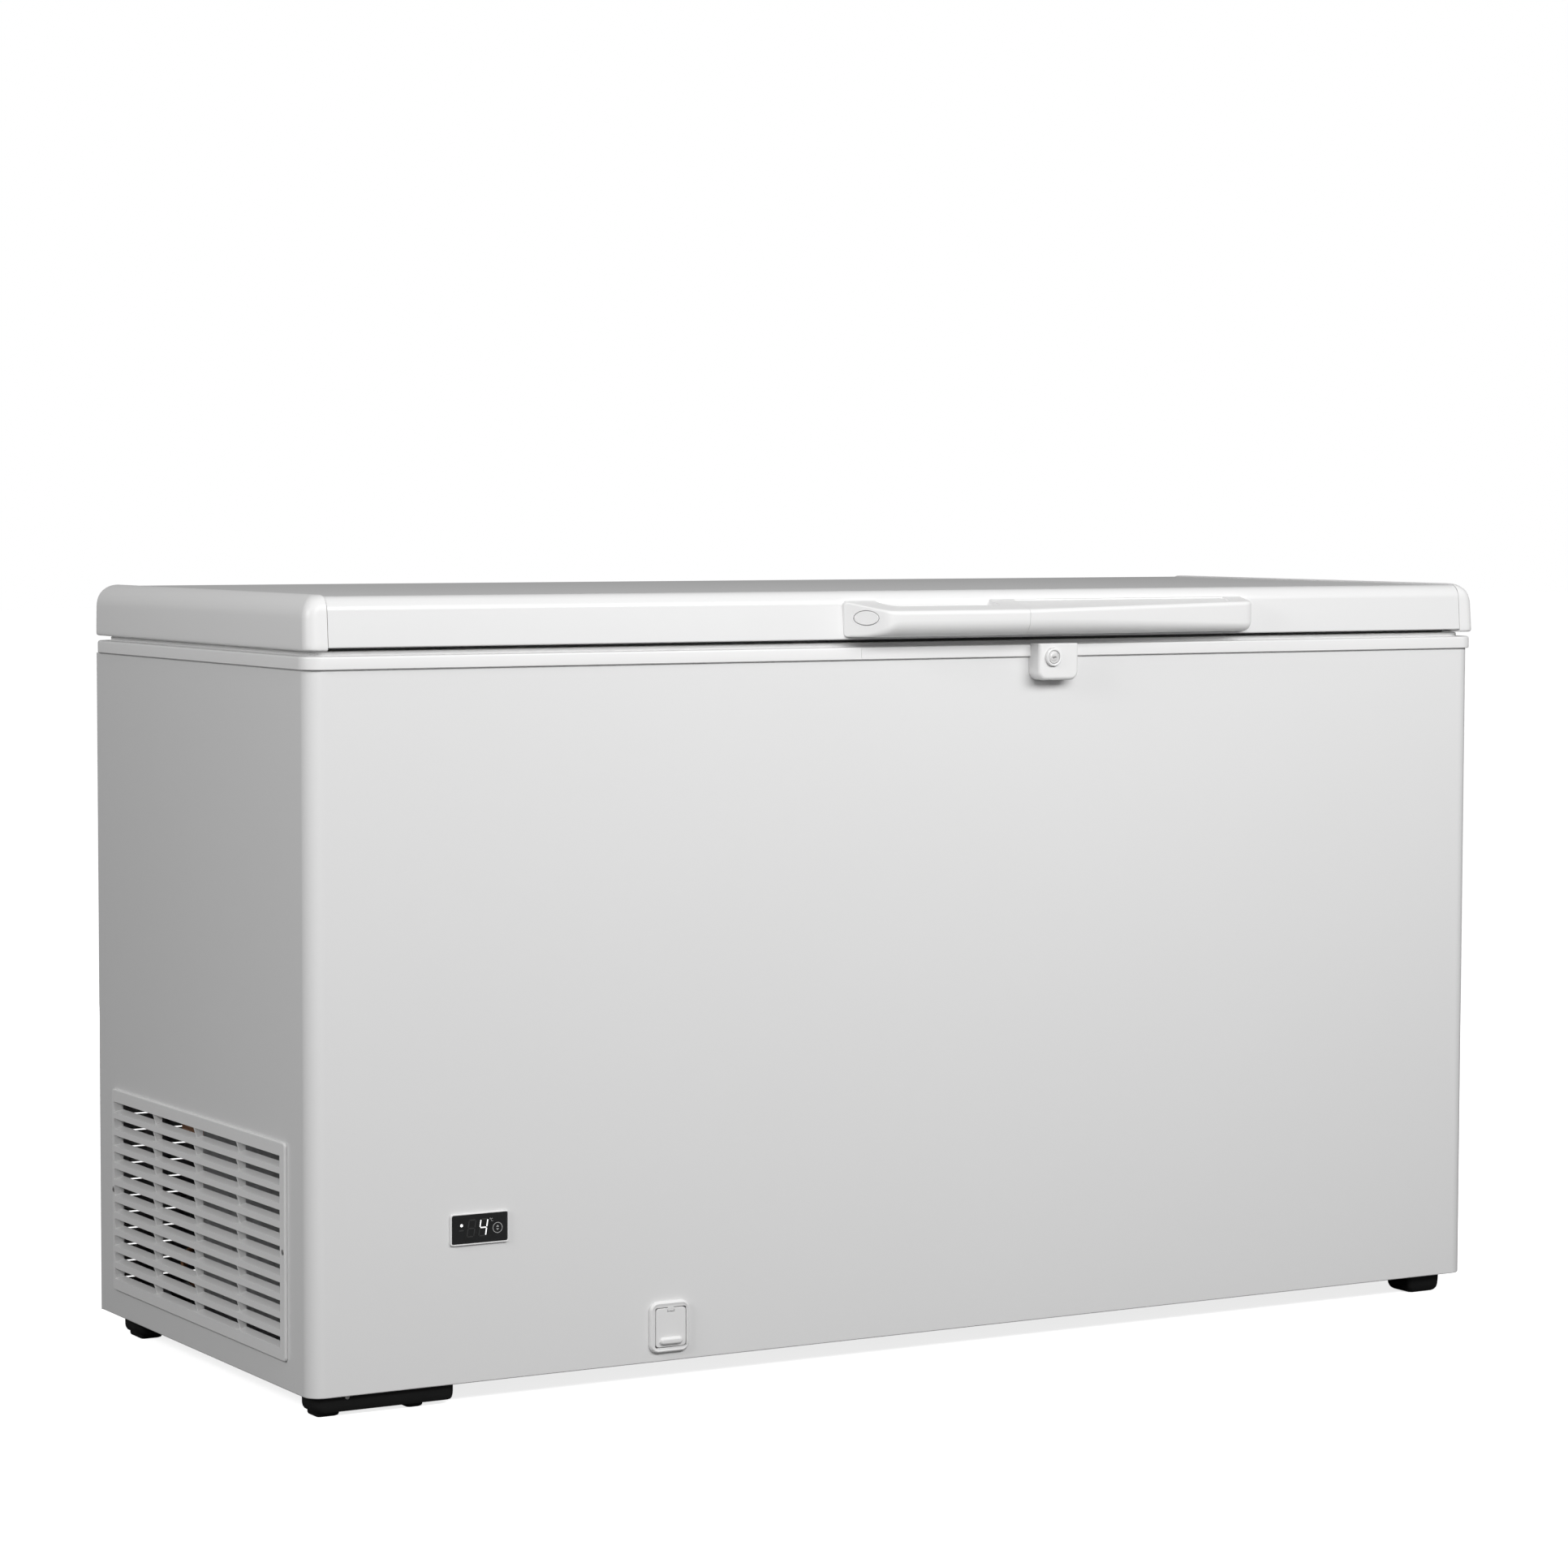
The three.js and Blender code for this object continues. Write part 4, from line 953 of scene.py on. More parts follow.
def make_drain_door():
    """Small flap with a pill-shaped finger bar near its lower edge and a pin across its top."""
    face, rear = -298.1, -295.7
    top = DOOR.z1

    def door_ring(inset, y):
        return rounded_rect(DOOR.x0 + inset, DOOR.x1 - inset, DOOR.z0 + inset, top - inset, 4 - inset, -y)

    door = skin_over("drain_flap", [
        door_ring(0.2, rear), door_ring(0, rear - 0.2), door_ring(0, face + 0.6),
        door_ring(0.2, face + 0.2), door_ring(0.6, face)], "front")
    notch = 4.5
    cut(door, block("cutter", TUBE.x - notch, TUBE.x + notch, face - 2, rear + 2, top - 4.2, top + 2))
    bar_low, bar_high, reach = 40.6, 48.8, DOOR.y0

    def bar_ring(inset, y):
        return rounded_rect(TUBE.x - 14 + inset, TUBE.x + 14 - inset, bar_low + inset, bar_high - inset,
                            4.0 - inset, -y)

    bar = skin_over("finger_bar", [
        bar_ring(0, face + 0.5), bar_ring(0.05, face - 0.4), bar_ring(0.4, face - 1.5),
        bar_ring(1.1, face - 2.5), bar_ring(2.0, reach + 0.2), bar_ring(2.9, reach)], "front")
    pins = rod("pins", PIN_Y, PIN_Z, PIN_RADIUS, TUBE.x - 7.5, TUBE.x + 7.5, "right", steps=16)
    weld(door, bar, pins)
    finish(door, PLASTIC, "drain_door", "white_plastic", "drain_door")


def make_drain_plug():
    """Rubber stopper with a pull tab."""
    plug = Span("drain_plug")
    head = turned("stopper", plug.x, plug.y, [
        (4.9, plug.z0), (5.6, plug.z0 + 1), (5.6, plug.z0 + 9), (12.2, plug.z0 + 9), (13, plug.z0 + 9.8),
        (13, plug.z0 + 11), (12, plug.z0 + 11.9), (4, plug.z0 + 12.2)], "up")
    tab = skin_over("tab", [rounded_rect(plug.x - 6, plug.x + 6, plug.z1 - 9, plug.z1, 3.4, height)
                            for height in (-plug.y - 1.5, -plug.y + 1.5)], "front")
    cut(tab, rod("cutter", plug.x, plug.z1 - 4, 2.6, -plug.y - 4, -plug.y + 4, "front"))
    soften(tab, 0.4)
    weld(head, tab)
    finish(head, BLACK_RUBBER, "drain_plug", "black_rubber", "drain_plug")


# ---- lock -------------------------------------------------------------------

HOUSING = Span("lock_housing")
RING = Span("lock_ring")


def make_lock_housing():
    """Box below the rim that holds the key cylinder, with the tongue's slot in its top."""
    face, wall, corner = HOUSING.y0, 2.5, 10
    box = block("lock_box", HOUSING.x0, HOUSING.x1, face, HOUSING.y1, HOUSING.z0, HOUSING.z1)
    bevel(box, corner, 8, lambda a, b: near(a.z, HOUSING.z0) and near(b.z, HOUSING.z0) and near(a.x, b.x))
    bevel(box, 4.2, 6, lambda a, b: near(a.y, face) and near(b.y, face)
          and not (near(a.z, HOUSING.z1) and near(b.z, HOUSING.z1)))
    bevel(box, 1.2, 3, lambda a, b: near(a.z, HOUSING.z1) and near(b.z, HOUSING.z1)
          and not (near(a.y, HOUSING.y1) and near(b.y, HOUSING.y1)))
    hollow = block("cutter", HOUSING.x0 + wall, HOUSING.x1 - wall, face + wall, HOUSING.y1 + 5,
                   HOUSING.z0 + wall, HOUSING.z1 - wall)
    bevel(hollow, corner - wall, 5, lambda a, b: near(a.z, HOUSING.z0 + wall)
          and near(b.z, HOUSING.z0 + wall) and near(a.x, b.x))
    behind_rim = block("cutter", HOUSING.x0 - 5, HOUSING.x1 + 5, RIM.y0 - 0.3, HOUSING.y1 + 5,
                       RIM_FLANGE - 0.3, 810)
    slot = skin_over("cutter", [rounded_rect(RING.x - 6, RING.x + 29, face + 6, face + 14, 1.2, height)
                                for height in (785, 810)])
    cut(box, hollow, behind_rim, slot, rod("cutter", RING.x, RING.z, 10.8, -face - 10, -face + 5, "front"))
    finish(box, PLASTIC, "cabinet", "white_plastic", "lock_housing")


def make_lock_ring():
    """Collar round the key cylinder, with a rounded crest."""
    front, rear = -RING.y0, -RING.y1
    collar = turned("key_collar", RING.x, RING.z, [
        (7.6, rear), (7.6, front - 0.7), (7.9, front - 0.25), (8.5, front - 0.1), (9.2, front),
        (9.8, front - 0.25), (10.3, front - 0.9), (10.5, front - 1.8), (10.5, rear),
    ], "front", closed=True, steps=56)
    finish(collar, PLASTIC, "cabinet", "white_plastic", "lock_ring")


def make_lock_plug():
    """Key plug with its keyway, its shaft and the tongue that swings up into the handle cover."""
    plug = Span("lock_plug")
    front = -plug.y0
    body = turned("key_plug", RING.x, RING.z, [
        (7.2, front - 10), (7.2, front - 0.6), (6.9, front - 0.2), (6.1, front - 0.1), (5.8, front - 0.7),
        (5.4, front - 0.7), (5.1, front - 0.15), (4.6, front), (1.5, front)], "front", steps=48)
    cut_levels = (front - 4, front + 2)
    keyway = skin_over("cutter", [
        rounded_rect(RING.x - 2.9, RING.x + 2.9, RING.z - 0.75, RING.z + 0.75, 0.5, height, 2)
        for height in cut_levels], "front")
    ward = skin_over("cutter", [
        rounded_rect(RING.x - 1.2, RING.x + 0.1, RING.z - 1.5, RING.z + 0.2, 0.4, height, 2)
        for height in cut_levels], "front")
    cut(body, keyway, ward)
    shaft = rod("shaft", RING.x, RING.z, 4, front - 16, front - 9, "front")
    tongue = skin_over("tongue", [rounded_rect(plug.x0, plug.x1, RING.z - 4, RING.z + 4, 2, height)
                                  for height in (front - 14, front - 11)], "front")
    soften(tongue, 0.5)
    weld(body, shaft, tongue)
    finish(body, NICKEL, "lock_plug", "screw_steel", "lock_plug")


# ---- lid --------------------------------------------------------------------

SKIN = Span("lid_skin")
RIGHT_CAP = Span("right_end_cap")
LID_LEAN = 4.0                  # the front leans back by this much over the skin's height
LID_EDGE = 15.0                 # radius of the long upper edges


def make_lid_skin():
    """Painted sheet over the lid: leaning front, rounded long edges, turned under along front and rear."""
    hem = 10
    skin = block("lid_sheet", SKIN.x0, SKIN.x1, SKIN.y0, SKIN.y1, SKIN.z0, SKIN.z1)
    with editing(skin, "EDGE") as mesh:
        pick_edges(mesh, lambda a, b: near(a.z, SKIN.z1) and near(b.z, SKIN.z1)
                   and near(a.y, SKIN.y0) and near(b.y, SKIN.y0))
        bpy.ops.transform.translate(value=(0, LID_LEAN * MM, 0))
    bevel(skin, LID_EDGE, 12, lambda a, b: near(a.z, SKIN.z1) and near(b.z, SKIN.z1) and near(a.y, b.y))
    with editing(skin) as mesh:
        pick_faces(mesh, lambda centre, normal: normal.z < -0.9 or abs(normal.x) > 0.9)
        bpy.ops.mesh.delete(type="FACE")
    for side in (SKIN.y0, SKIN.y1):
        with editing(skin, "EDGE") as mesh:
            pick_edges(mesh, lambda a, b: near(a.z, SKIN.z0) and near(b.z, SKIN.z0)
                       and near(a.y, side) and near(b.y, side))
            inward = hem * MM if side < 0 else -hem * MM
            bpy.ops.mesh.extrude_region_move(TRANSFORM_OT_translate={"value": (0, inward, 0)})
    bevel(skin, 1.6, 3, lambda a, b: near(a.z, SKIN.z0) and near(b.z, SKIN.z0)
          and near(a.y, b.y) and abs(a.y) > SKIN.y1 - 1)
    thicken(skin, SHEET)
    finish(skin, PAINT, "lid", "white_paint", "lid_skin")


def drop_inset(depth, width, height):
    """How far an oval upper edge has come in, at a depth below its top."""
    if depth >= height:
        return 0.0
    return width * (1 - math.sqrt(max(0.0, 1 - ((height - depth) / height) ** 2)))


def make_end_caps():
    """Moulded ends of the lid: a bulging side, a big upper rounding and a column at each corner."""
    low, high, reach = RIGHT_CAP.z0, RIGHT_CAP.z1, RIGHT_CAP.x1
    seam = RIGHT_CAP.x0
    side_width, side_height, corner = 20.0, 24.0, 13.0
    levels = [0, 0.4, 1.2, 2.6, 6, 14, 24, 33.5]
    levels += [high - low - side_height * (1 - math.sin(math.radians(angle)))
               for angle in (8, 16, 26, 37, 48, 59, 69, 78, 85, 90)]
    rings = []
    for level in levels:
        depth = high - low - level
        foot = drop_inset(level, 2.6, 2.6)
        flare = 1.6 * (level / (high - low)) ** 2
        side = foot + flare + drop_inset(depth, side_width - 1.6, side_height)
        edge = foot + drop_inset(depth, LID_EDGE, LID_EDGE)
        lean = LID_LEAN * max(level - 3, 0) / (SKIN.z1 - SKIN.z0)
        rings.append(rounded_rect(600, reach - side, SKIN.y0 + lean + edge, SKIN.y1 - edge,
                                  corner, low + level, 10))
    right = skin_over("right_cap", rings)
    bisect(right, (seam, 0, 0), (-1, 0, 0))
    bevel(right, 0.7, 2, lambda a, b: near(a.x, seam) and near(b.x, seam))
    left = mirrored(right, "left_cap")
    finish(right, PLASTIC, "lid", "white_plastic", "right_end_cap")
    finish(left, PLASTIC, "lid", "white_plastic", "left_end_cap")


def make_lid_inner_panel():
    """Inside of the lid: a flat border and a tray pressed down into the mouth of the tank."""
    panel = Span("lid_inner_panel")
    tray_x, tray_y, corner, wall = 688.0, 220.0, 30.0, 1.6
    border = panel.z1 - wall

    def tray(inset, height):
        return centred_rect(tray_x - inset, tray_y - inset, corner - inset * 0.4, height, 8)

    rings = [
        tray(wall + 3, panel.z0 + wall), tray(wall, panel.z0 + wall + 3), tray(wall, panel.z1),
        centred_rect(panel.x1, panel.y1, 4, panel.z1, 8), centred_rect(panel.x1, panel.y1, 4, border, 8),
        tray(-3, border), tray(-0.8, border - 0.8), tray(0, border - 3),
        tray(0, panel.z0 + 4), tray(1.2, panel.z0 + 1.1), tray(4, panel.z0),
        tray(30, panel.z0), tray(32, panel.z0 + 1.4), tray(60, panel.z0 + 1.4), tray(62, panel.z0),
    ]
    inside = skin_over("lid_tray", rings)
    finish(inside, PLASTIC, "lid", "white_plastic", "lid_inner_panel")


def make_gasket():
    """Seal round the lid: two soft beads with a groove between them."""
    seal = Span("lid_gasket")
    low, high = seal.z0, seal.z1

    def loop(inset, height):
        return centred_rect(seal.x1 - inset, seal.y1 - inset, 14 - inset * 0.375, height, 8)

    gasket = skin_over("door_seal", [
        loop(0.8, high), loop(0, high - 0.8), loop(0, low + 1.1), loop(0.6, low + 0.3), loop(1.8, low),
        loop(5.6, low), loop(6.6, low + 0.5), loop(7.2, low + 1.2), loop(8.8, low + 1.2),
        loop(9.4, low + 0.5), loop(10.4, low), loop(14.2, low), loop(15.4, low + 0.3),
        loop(16, low + 1.1), loop(16, high),
    ], closed=True)
    finish(gasket, SEAL, "lid", "seal_grey", "lid_gasket")


# ---- lid handle -------------------------------------------------------------

GRIP = Span("handle_grip")
COVER = Span("handle_cover")
RAMP = 36.0                     # length of the slanting left end
TAPER_START = GRIP.x1 + 0.3
TAPER_END = COVER.x1 - 16
TAPER_DEPTH = 20.0
HANDLE_BACK = SKIN.y0 + 0.1
TOP_SLOPE = 0.26


def ease(value):
    """Smooth step from 0 to 1."""
    value = min(max(value, 0.0), 1.0)
    return value * value * (3 - 2 * value)


def handle_front(x):
    """Depth of the handle's front along it: ramp, straight grip, taper and rounded end."""
    reach = GRIP.y0
    if x < GRIP.x0 + 1.7 * RAMP:
        ramp = SKIN.y0 - 0.3 - (x - GRIP.x0) * (SKIN.y0 - reach) / RAMP
        soft = 5.0
        return max(reach, (ramp + reach + math.hypot(ramp - reach, soft)) / 2 - soft ** 2 / 160)
    if x <= TAPER_START:
        return reach
    depth = reach + TAPER_DEPTH * (min(x, TAPER_END) - TAPER_START) / (TAPER_END - TAPER_START)
    if x > TAPER_END:
        round_end = min(1.0, (x - TAPER_END) / (COVER.x1 - TAPER_END))
        depth += (HANDLE_BACK - 4.5 - depth) * (1 - math.sqrt(max(0.0, 1 - round_end ** 2.4)))
    return depth


def top_level(y):
    """Height of the handle's sloping top face at a depth."""
    return GRIP.z1 - TOP_SLOPE * (GRIP.y1 - y)


def handle_section(x):
    """Outline across the handle: flat underside, rolled lower front, nose, ridge and sloping top."""
    front = handle_front(x)
    roll = ease((x - GRIP.x0 - 12) / 38)
    low, high = GRIP.z0, GRIP.z1
    end_left = drop_inset(x - GRIP.x0, 4, 4)
    end_low = drop_inset(COVER.x1 - x, 13, 13) + end_left
    end_high = drop_inset(COVER.x1 - x, 9, 9) + end_left
    width = max(HANDLE_BACK - front, 0.6)
    ridge = min(2.5 + 1.5 * roll, width * 0.45)
    under = min(3.0 + 15.0 * roll, width * 0.5)
    tall = 2.5 + 2.5 * roll
    base = low + end_low
    crest = top_level(front + ridge) - end_high
    points = [(HANDLE_BACK, base)]
    points += arc(front + under, base + under, under, under, 270, 180, 8)
    points += arc(front + ridge, crest - tall, ridge, tall, 180, 90, 6)
    points.append((GRIP.y1, high - end_high))
    points.append((GRIP.y1 - 0.6, high - end_high - 5))
    return [(x, y, z) for y, z in points]


def handle_stations(start, end):
    """Places along the handle where its outline is taken, closer where it bends."""
    places = [GRIP.x0 + step for step in (
        0, 0.3, 1.0, 2.2, 4, 7, 11, 15, 19, 22, 25, 28, 31, 34, 37, 40, 44, 48, 54, 62, 80, 120)]
    places += [-20, 30, 70, TAPER_START - 8, TAPER_START, TAPER_START + 40, 200, 260, 330, 380, TAPER_END]
    places += [COVER.x1 - (COVER.x1 - TAPER_END) * (1 - math.sin(math.radians(angle)))
               for angle in (15, 30, 42, 53, 63, 72, 80, 86, 90)]
    return [start] + sorted(place for place in places if start < place < end) + [end]


def slanted_oval(radius_u, radius_v, depth0, depth1):
    """An oval body lying in the handle's ramp, from one depth under its face to another."""
    slope = math.atan2(SKIN.y0 - GRIP.y0, RAMP)
    along = Vector((math.cos(slope), -math.sin(slope), 0))
    outward = Vector((-math.sin(slope), -math.cos(slope), 0))
    plug = Span("handle_plug")
    centre = Vector((plug.x, plug.y, plug.z)) + 1.6 * outward - 2.4 * along
    rings = []
    for depth, shrink in ((depth0, 0), (depth1 - 0.5, 0), (depth1, 0.5)):
        rings.append([centre + outward * depth + along * (radius_u - shrink) * math.cos(turn)
                      + Vector((0, 0, (radius_v - shrink) * math.sin(turn)))
                      for turn in (math.radians(angle) for angle in range(0, 360, 10))])
    return rings


def make_handle():
    """Grip with its finger gap, oval plug and the tapering cover over the lock."""
    grip = skin_over("grip", [handle_section(x) for x in handle_stations(GRIP.x0, GRIP.x1)])
    gap_left, gap_right, gap_front = -80.0, 70.5, GRIP.y0 + 20
    gap = [(gap_left, -285.0)] + arc(gap_left + 21, gap_front + 20, 21, 20, 180, 270, 8)
    gap += arc(gap_right - 2, gap_front + 2, 2, 2, 270, 360, 3) + [(gap_right, -285.0)]
    cut(grip, prism("cutter", gap, 780, 880, "up"))
    cut(grip, skin_over("cutter", slanted_oval(14.9, 8.5, -3.5, 6)))
    soften(grip, 0.5, 2, 55)
    finish(grip, PLASTIC, "lid", "white_plastic", "handle_grip")

    plug = skin_over("oval_plug", slanted_oval(14.2, 7.8, -3.1, 0.15))
    finish(plug, PLASTIC, "lid", "white_plastic", "handle_plug")

    cover = skin_over("cover", [handle_section(x) for x in handle_stations(COVER.x0, COVER.x1)])
    label = []
    for x in (COVER.x0 + 4, COVER.x1 - 34):
        front, back = handle_front(x) + 5.5, GRIP.y1 - 3.5
        label.append([(x, y, top_level(y) + rise)
                      for y, rise in ((back, -0.9), (front, -0.9), (front, 4), (back, 4))])
    cut(cover, skin_over("cutter", label))
    lock_front = HOUSING.y0
    cut(cover, block("cutter", RING.x - 7, RING.x + 21, lock_front + 6, lock_front + 14, 790, 816))
    soften(cover, 0.5, 2, 55)
    finish(cover, PLASTIC, "lid", "white_plastic", "handle_cover")


# ---- feet -------------------------------------------------------------------

def make_left_foot(name):
    """Long bar foot with two pads and a screw in its front."""
    foot = Span(name)
    low = foot.z0 + 5

    def bar(inset_left, inset, height):
        end = inset * 0.4
        return rounded_rect(foot.x0 + inset_left, foot.x1 - inset, foot.y0 + end, foot.y1 - end,
                            12 - inset, height)

    body = skin_over("foot_bar", [
        bar(0, 0, foot.z1), bar(0.2, 0, low + 8), bar(1.2, 0.5, low + 4.5), bar(3.4, 1.5, low + 1.8),
        bar(6, 3, low + 0.4), bar(8.5, 5, low)])
    for x0, x1 in ((foot.x0 + 6.5, foot.x0 + 33.5), (foot.x1 - 56, foot.x1 - 36)):
        pad = skin_over("pad", [
            rounded_rect(x0 + inset, x1 - inset, foot.y0 + 6 + inset, foot.y1 - 6 - inset, 4, foot.z0 + rise)
            for inset, rise in ((0, 6.5), (0, 2.6), (0.8, 0.9), (2.6, 0))])
        weld(body, pad)
    screw = make_screw("screw", foot.x0 + 39, foot.z1 - 2.6, 2.6, -foot.y0 - 0.2, "front")
    finish(body, BLACK_PLASTIC, "cabinet", "black_plastic", name)
    finish(screw, STEEL, "cabinet", "screw_steel")
    screw.name = name + "_screw"


def make_right_foot(name):
    """Tapered block foot with well-rounded lower edges."""
    foot = Span(name)
    steps = ((0, 0, 0, 22.7), (0.8, 0.3, 0.3, 13), (1.5, 0.8, 0.8, 8), (2.5, 1.6, 1.8, 4.6),
             (4.4, 3.2, 3.4, 2), (6.6, 5.2, 5.4, 0.6), (9, 7.5, 7.6, 0))
    block_foot = skin_over("foot_block", [
        rounded_rect(foot.x0 + left, foot.x1 - right, foot.y0 + ends, foot.y1 - ends, 5, foot.z0 + height)
        for left, right, ends, height in steps])
    finish(block_foot, BLACK_PLASTIC, "cabinet", "black_plastic", name)


# ---- rear -------------------------------------------------------------------

def make_vent_cover():
    """Rear cover of the bay: rows of pressed louvres, open downwards, and a screw in each corner."""
    vent = Span("rear_vent_cover")
    margin, plate_face = 8, vent.y0 + 1.2

    def outline(x0, x1, z0, z1, corner, y):
        return rounded_rect(-x1, -x0, z0, z1, corner, y)

    plate_steps = ((0.3, vent.y0), (0, vent.y0 + 0.3), (0, plate_face - 0.3), (0.3, plate_face))
    cover = skin_over("vent_cover", [
        outline(vent.x0 + inset, vent.x1 - inset, vent.z0 + inset, vent.z1 - inset, 5, y)
        for inset, y in plate_steps], "back")
    long, tall = 115, 9
    hood_steps = ((1.6, plate_face - 0.4), (1.6, plate_face + 0.3), (1.0, vent.y1 - 0.3), (0.4, vent.y1))
    hoods, pockets, mouths = [], [], []
    for row in range(12):
        z = vent.z0 + margin + 12 + row * 19
        for x in (vent.x0 + margin + 10, vent.x + 6):
            hoods.append(skin_over("hood", [
                outline(x - grow, x + long + grow, z - grow, z + tall + grow, 4.5, y)
                for grow, y in hood_steps], "back"))
            pockets.append(skin_over("cutter", [
                outline(x, x + long, z, z + tall, 4, y) for y in (vent.y0 - 2, vent.y1 - 0.8)], "back"))
            mouths.append(block("cutter", x + 3, x + long - 3, plate_face + 0.01, vent.y1 + 1,
                                z - 3, z + 1.2))
    weld(cover, gather("hoods", hoods))
    cut(cover, gather("cutter", pockets))
    cut(cover, gather("cutter", mouths))
    finish(cover, GALVANISED, "cabinet", "galvanised_sheet", "rear_vent_cover")
    screws = [make_screw("screw", -x, z, 3.4, plate_face - 0.05, "back")
              for x in (vent.x0 + 6, vent.x1 - 6) for z in (vent.z0 + 6, vent.z1 - 6)]
    finish(gather("vent_cover_screws", screws), STEEL, "cabinet", "screw_steel")


def make_cable_gland():
    """Six-sided nut with the ringed neck that the mains cord would leave by."""
    gland = Span("cable_gland")
    start = gland.y0

    def hexagon(radius, height):
        return [(-gland.x + radius * math.sin(turn), gland.z + radius * math.cos(turn), height)
                for turn in (math.radians(angle) for angle in range(0, 360, 60))]

    body = skin_over("gland_nut", [
        hexagon(13.2, start), hexagon(14, start + 0.8), hexagon(14, start + 5.2), hexagon(13.2, start + 6),
    ], "back")
    neck = turned("gland_neck", -gland.x, gland.z, [
        (9.5, start + 5), (9.5, start + 14), (8.9, gland.y1 - 2), (8.2, gland.y1), (4.6, gland.y1),
        (4.2, gland.y1 - 1), (4.2, start + 3), (5, start + 2)], "back", closed=True, steps=28)
    weld(body, neck)
    finish(body, BLACK_PLASTIC, "cabinet", "black_plastic", "cable_gland")


# ---- hinges -----------------------------------------------------------------

def make_hinge(side):
    """Folded base plate with two ears, the pin, and the arm that carries the lid."""
    base, pin, arm = (Span(f"hinge_{part}_{side}") for part in ("base", "pin", "arm"))
    centre, axis_y, axis_z, ear = pin.x, pin.y, pin.z, 14
    plate_back, plate_face = WRAP.y1 + 1.6, WRAP.y1 + 4.6
    plate = skin_over("hinge_plate", [rounded_rect(-base.x1, -base.x0, base.z0, 778, 6, y)
                                      for y in (plate_back, plate_face)], "back")
    soften(plate, 0.5)
    outline = [(plate_face - 0.5, 700), (plate_face + 4, 698)]
    outline += [(axis_y + ear, axis_z - 22), (axis_y + ear, axis_z)]
    outline += arc(axis_y, axis_z, ear, ear, 10, 180, 12)
    outline += [(axis_y - ear, axis_z - 8), (300, 778), (plate_face - 0.5, 778)]
    for inner, outer in ((-26, -22), (22, 26)):
        cheek = prism("hinge_ear", outline, centre + inner, centre + outer, "right")
        soften(cheek, 0.6)
        weld(plate, cheek)
    cut(plate, rod("cutter", axis_y, axis_z, 5.3, centre - 40, centre + 40, "right"))
    finish(plate, STEEL, "cabinet", "screw_steel", f"hinge_base_{side}")
    plate.name = f"hinge_plate_{side}"

    bar = turned("hinge_bar", axis_y, axis_z, [
        (4.4, pin.x0), (5, pin.x0 + 0.6), (5, pin.x1 - 0.6), (4.4, pin.x1)], "right")
    finish(bar, STEEL, "cabinet", "screw_steel", f"hinge_pin_{side}")
    bar.name = f"hinge_bar_{side}"

    flap = skin_over("hinge_flap", [rounded_rect(-arm.x1, -arm.x0, 812, arm.z1, 6, y)
                                    for y in (arm.y0, arm.y0 + 3)], "back")
    soften(flap, 0.5)
    knuckle = [(arm.y0 + 1, 814), (axis_y - 12, 806)] + arc(axis_y, axis_z, 12, 12, 180, 450, 18)
    knuckle += [(axis_y - 8, 818), (arm.y0 + 1, 832)]
    barrel = prism("hinge_knuckle", knuckle, centre - 18, centre + 18, "right")
    soften(barrel, 0.6)
    weld(flap, barrel)
    cut(flap, rod("cutter", axis_y, axis_z, 5.3, centre - 40, centre + 40, "right"))
    finish(flap, STEEL, "lid", "screw_steel", f"hinge_arm_{side}")
    flap.name = f"hinge_flap_{side}"

    low = [make_screw("screw", -(centre + x), z, 4.2, plate_face - 0.1, "back")
           for x in (-31, 31) for z in (703, 765)]
    finish(gather(f"hinge_plate_screws_{side}", low), STEEL, "cabinet", "screw_steel")
    high = [make_screw("screw", -(centre + x), 835, 4.2, arm.y0 + 2.9, "back") for x in (-30, 0, 30)]
    finish(gather(f"hinge_flap_screws_{side}", high), STEEL, "lid", "screw_steel")


# ---- tank -------------------------------------------------------------------

def make_tank():
    """Folded aluminium tank: a deep part and a shallow one over the compressor bay."""
    floor, walls = Span("liner_floor"), Span("liner_front")
    wall, fold, corner = SHEET, 7.0, 22.0
    inner_x, inner_y = walls.x1 - wall, -walls.y0 - wall
    deep_floor, step_floor, step_x = floor.z0 + wall, floor.z1, -417.0

    def pocket(name, x0, extra, bottom, top):
        def ring(inset, height):
            return rounded_rect(x0 - extra + inset, inner_x + extra - inset, -inner_y - extra + inset,
                                inner_y + extra - inset, corner + extra - inset, height, 8)

        base = bottom - extra
        return skin_over(name, [
            ring(fold, base), ring(fold * 0.5, base + fold * 0.13), ring(fold * 0.13, base + fold * 0.5),
            ring(0, base + fold), ring(0, top)])

    tank = weld(pocket("tank", step_x, wall, deep_floor, walls.z1),
                pocket("shallow", -inner_x, wall, step_floor, walls.z1))
    space = weld(pocket("space", step_x, 0, deep_floor, walls.z1 + 20),
                 pocket("over", -inner_x, 0, step_floor, walls.z1 + 20))
    cut(tank, space, rod("cutter", TUBE.x, Span("drain_plug").y, 9.6, deep_floor - 5, deep_floor + 5, "up"))
    finish(tank, STUCCO, "cabinet", "tank_aluminium", "liner_floor", "liner_front", "liner_rear")


# ---- compressor bay ---------------------------------------------------------

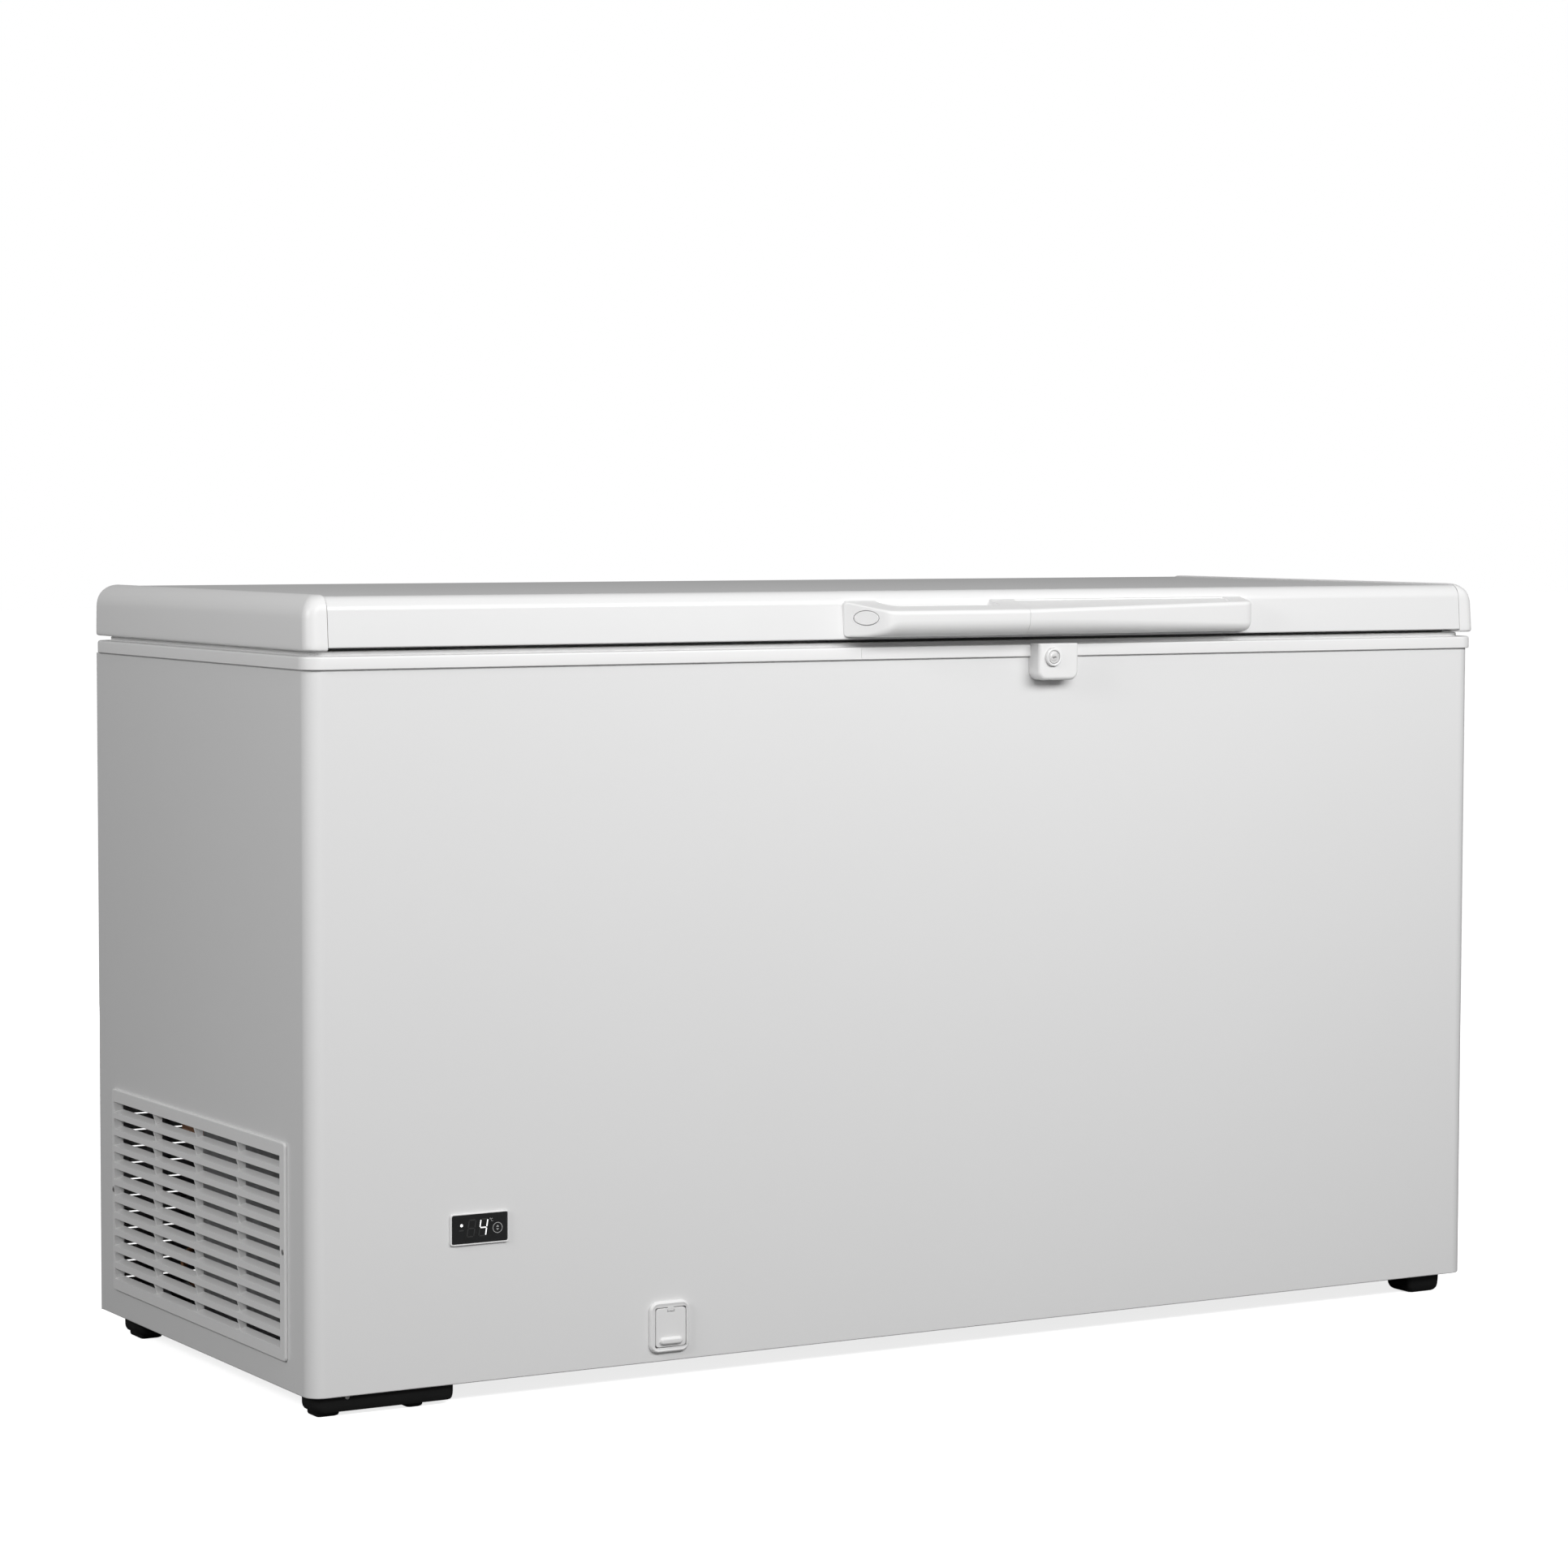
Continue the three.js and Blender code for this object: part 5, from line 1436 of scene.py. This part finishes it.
def make_condenser():
    """Finned coil just behind the grille: waved fins on three runs of pipe with return bends."""
    coil = Span("condenser")
    x0, x1, y0, y1 = -742.0, -704.0, -215.0, 40.0
    count = 52
    pitch = (y1 - y0) / (count - 1)
    middle = (x0 + x1) / 2
    waves = 8
    fins = []
    wave_x = [x0 + (x1 - x0) * step / waves for step in range(waves + 1)]
    for fin in range(count):
        y = y0 + fin * pitch
        near_side = [(x, y - 0.15 + 0.7 * (-1) ** number) for number, x in enumerate(wave_x)]
        far_side = [(x, y + 0.15 + 0.7 * (-1) ** number) for number, x in reversed(list(enumerate(wave_x)))]
        fins.append(prism("fin", near_side + far_side, coil.z0, coil.z1, "up"))
    finish(gather("condenser_fins", fins), STUCCO, "cabinet", "tank_aluminium", "condenser", smooth=20)
    levels = (75, 165, 255)
    bend = (levels[1] - levels[0]) / 2
    path = [(middle, y1 + 12, levels[0]), (middle, y0 + 10, levels[0])]
    path += [(middle, y0 + 10 - 16 * math.sin(angle), levels[0] + bend * (1 - math.cos(angle)))
             for angle in (math.radians(step) for step in range(15, 180, 15))]
    path += [(middle, y0 + 10, levels[1]), (middle, y1 - 10, levels[1])]
    path += [(middle, y1 - 10 + 16 * math.sin(angle), levels[1] + bend * (1 - math.cos(angle)))
             for angle in (math.radians(step) for step in range(15, 180, 15))]
    path += [(middle, y1 - 10, levels[2]), (middle, y0, levels[2])]
    finish(pipe("condenser_pipe", path, 4), COPPER, "cabinet", "copper_pipe")


def make_compressor():
    """Welded steel can with its seam, on a sprung foot plate."""
    can = Span("compressor")
    low, high, radius = 50.0, 228.0, 78.0
    middle, half = (low + high) / 2, (high - low) / 2
    profile = []
    for angle in range(-84, 90, 12):
        turn = math.radians(angle)
        bulge = math.copysign(abs(math.sin(turn)) ** 0.8, turn)
        profile.append((radius * math.cos(turn) ** 0.45, middle + half * bulge))
    lower = [point for point in profile if point[1] < middle - 4]
    upper = [point for point in profile if point[1] > middle + 4]
    seam = [(78, middle - 3), (80.5, middle - 2.4), (80.5, middle + 2.4), (78, middle + 3)]
    body = turned("compressor_can", can.x, can.y, lower + seam + upper, "up", steps=48)
    foot = skin_over("foot_plate", [rounded_rect(can.x0, can.x1, can.y0, can.y1, 14, height)
                                    for height in (44.8, 47.8)])
    neck = rod("neck", can.x, can.y, 50, 47, 67, "up")
    finish(gather("compressor_body", [body, foot, neck]), ENAMEL, "cabinet", "black_enamel", "compressor")


def dress_frame_parts():
    """Gives the parts that are shown as they are in the frame their finish."""
    dressed = {
        BLACK_PLASTIC: ("controller_box", "relay_cover", "fan_rotor"),
        BLACK_RUBBER: [f"compressor_mount_{number}" for number in (1, 2, 3, 4)],
        GALVANISED: ("bay_panel", "compressor_tray", "fan_shroud", "fan_bracket"),
        ENAMEL: ("fan_motor",),
        COPPER: ("discharge_pipe", "suction_pipe", "filter_drier", "capillary_tube"),
        FOAM: ("insulation_foam", "lid_foam"),
        PLASTIC: ("drain_tube",),
    }
    for material, names in dressed.items():
        for name in names:
            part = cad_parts[name]
            part.data.materials.clear()
            part.data.materials.append(material)


def lay_floor():
    """A pale studio floor that looks white but throws little light up."""
    bpy.ops.object.select_all(action="DESELECT")
    bpy.ops.mesh.primitive_plane_add(size=60)
    floor = bpy.context.object
    floor.name = "studio_floor"
    pale = Recipe("pale_floor", grey(0.9), 0.8, Emission_Color=grey(1.0), Specular_IOR_Level=0.0)
    seen = pale.node("ShaderNodeLightPath", out="Is Camera Ray")
    pale.set(Base_Color=pale.blend(seen, grey(0.14), grey(0.9)), Emission_Strength=0.8 * seen)
    floor.data.materials.append(pale.material)


place_camera()
light_the_studio()
lay_floor()
make_cabinet_wrap()
make_rear_panel()
make_bottom_panel()
make_rim()
make_grille()
make_grille_screws()
make_display()
make_display_marks()
make_drain_plate()
make_drain_door()
make_drain_plug()
make_lock_housing()
make_lock_ring()
make_lock_plug()
make_lid_skin()
make_end_caps()
make_lid_inner_panel()
make_gasket()
make_handle()
for foot_name in ("left_front_foot", "left_rear_foot"):
    make_left_foot(foot_name)
for foot_name in ("right_front_foot", "right_rear_foot"):
    make_right_foot(foot_name)
make_vent_cover()
make_cable_gland()
for hinge_side in ("left", "right"):
    make_hinge(hinge_side)
make_tank()
make_condenser()
make_compressor()
dress_frame_parts()
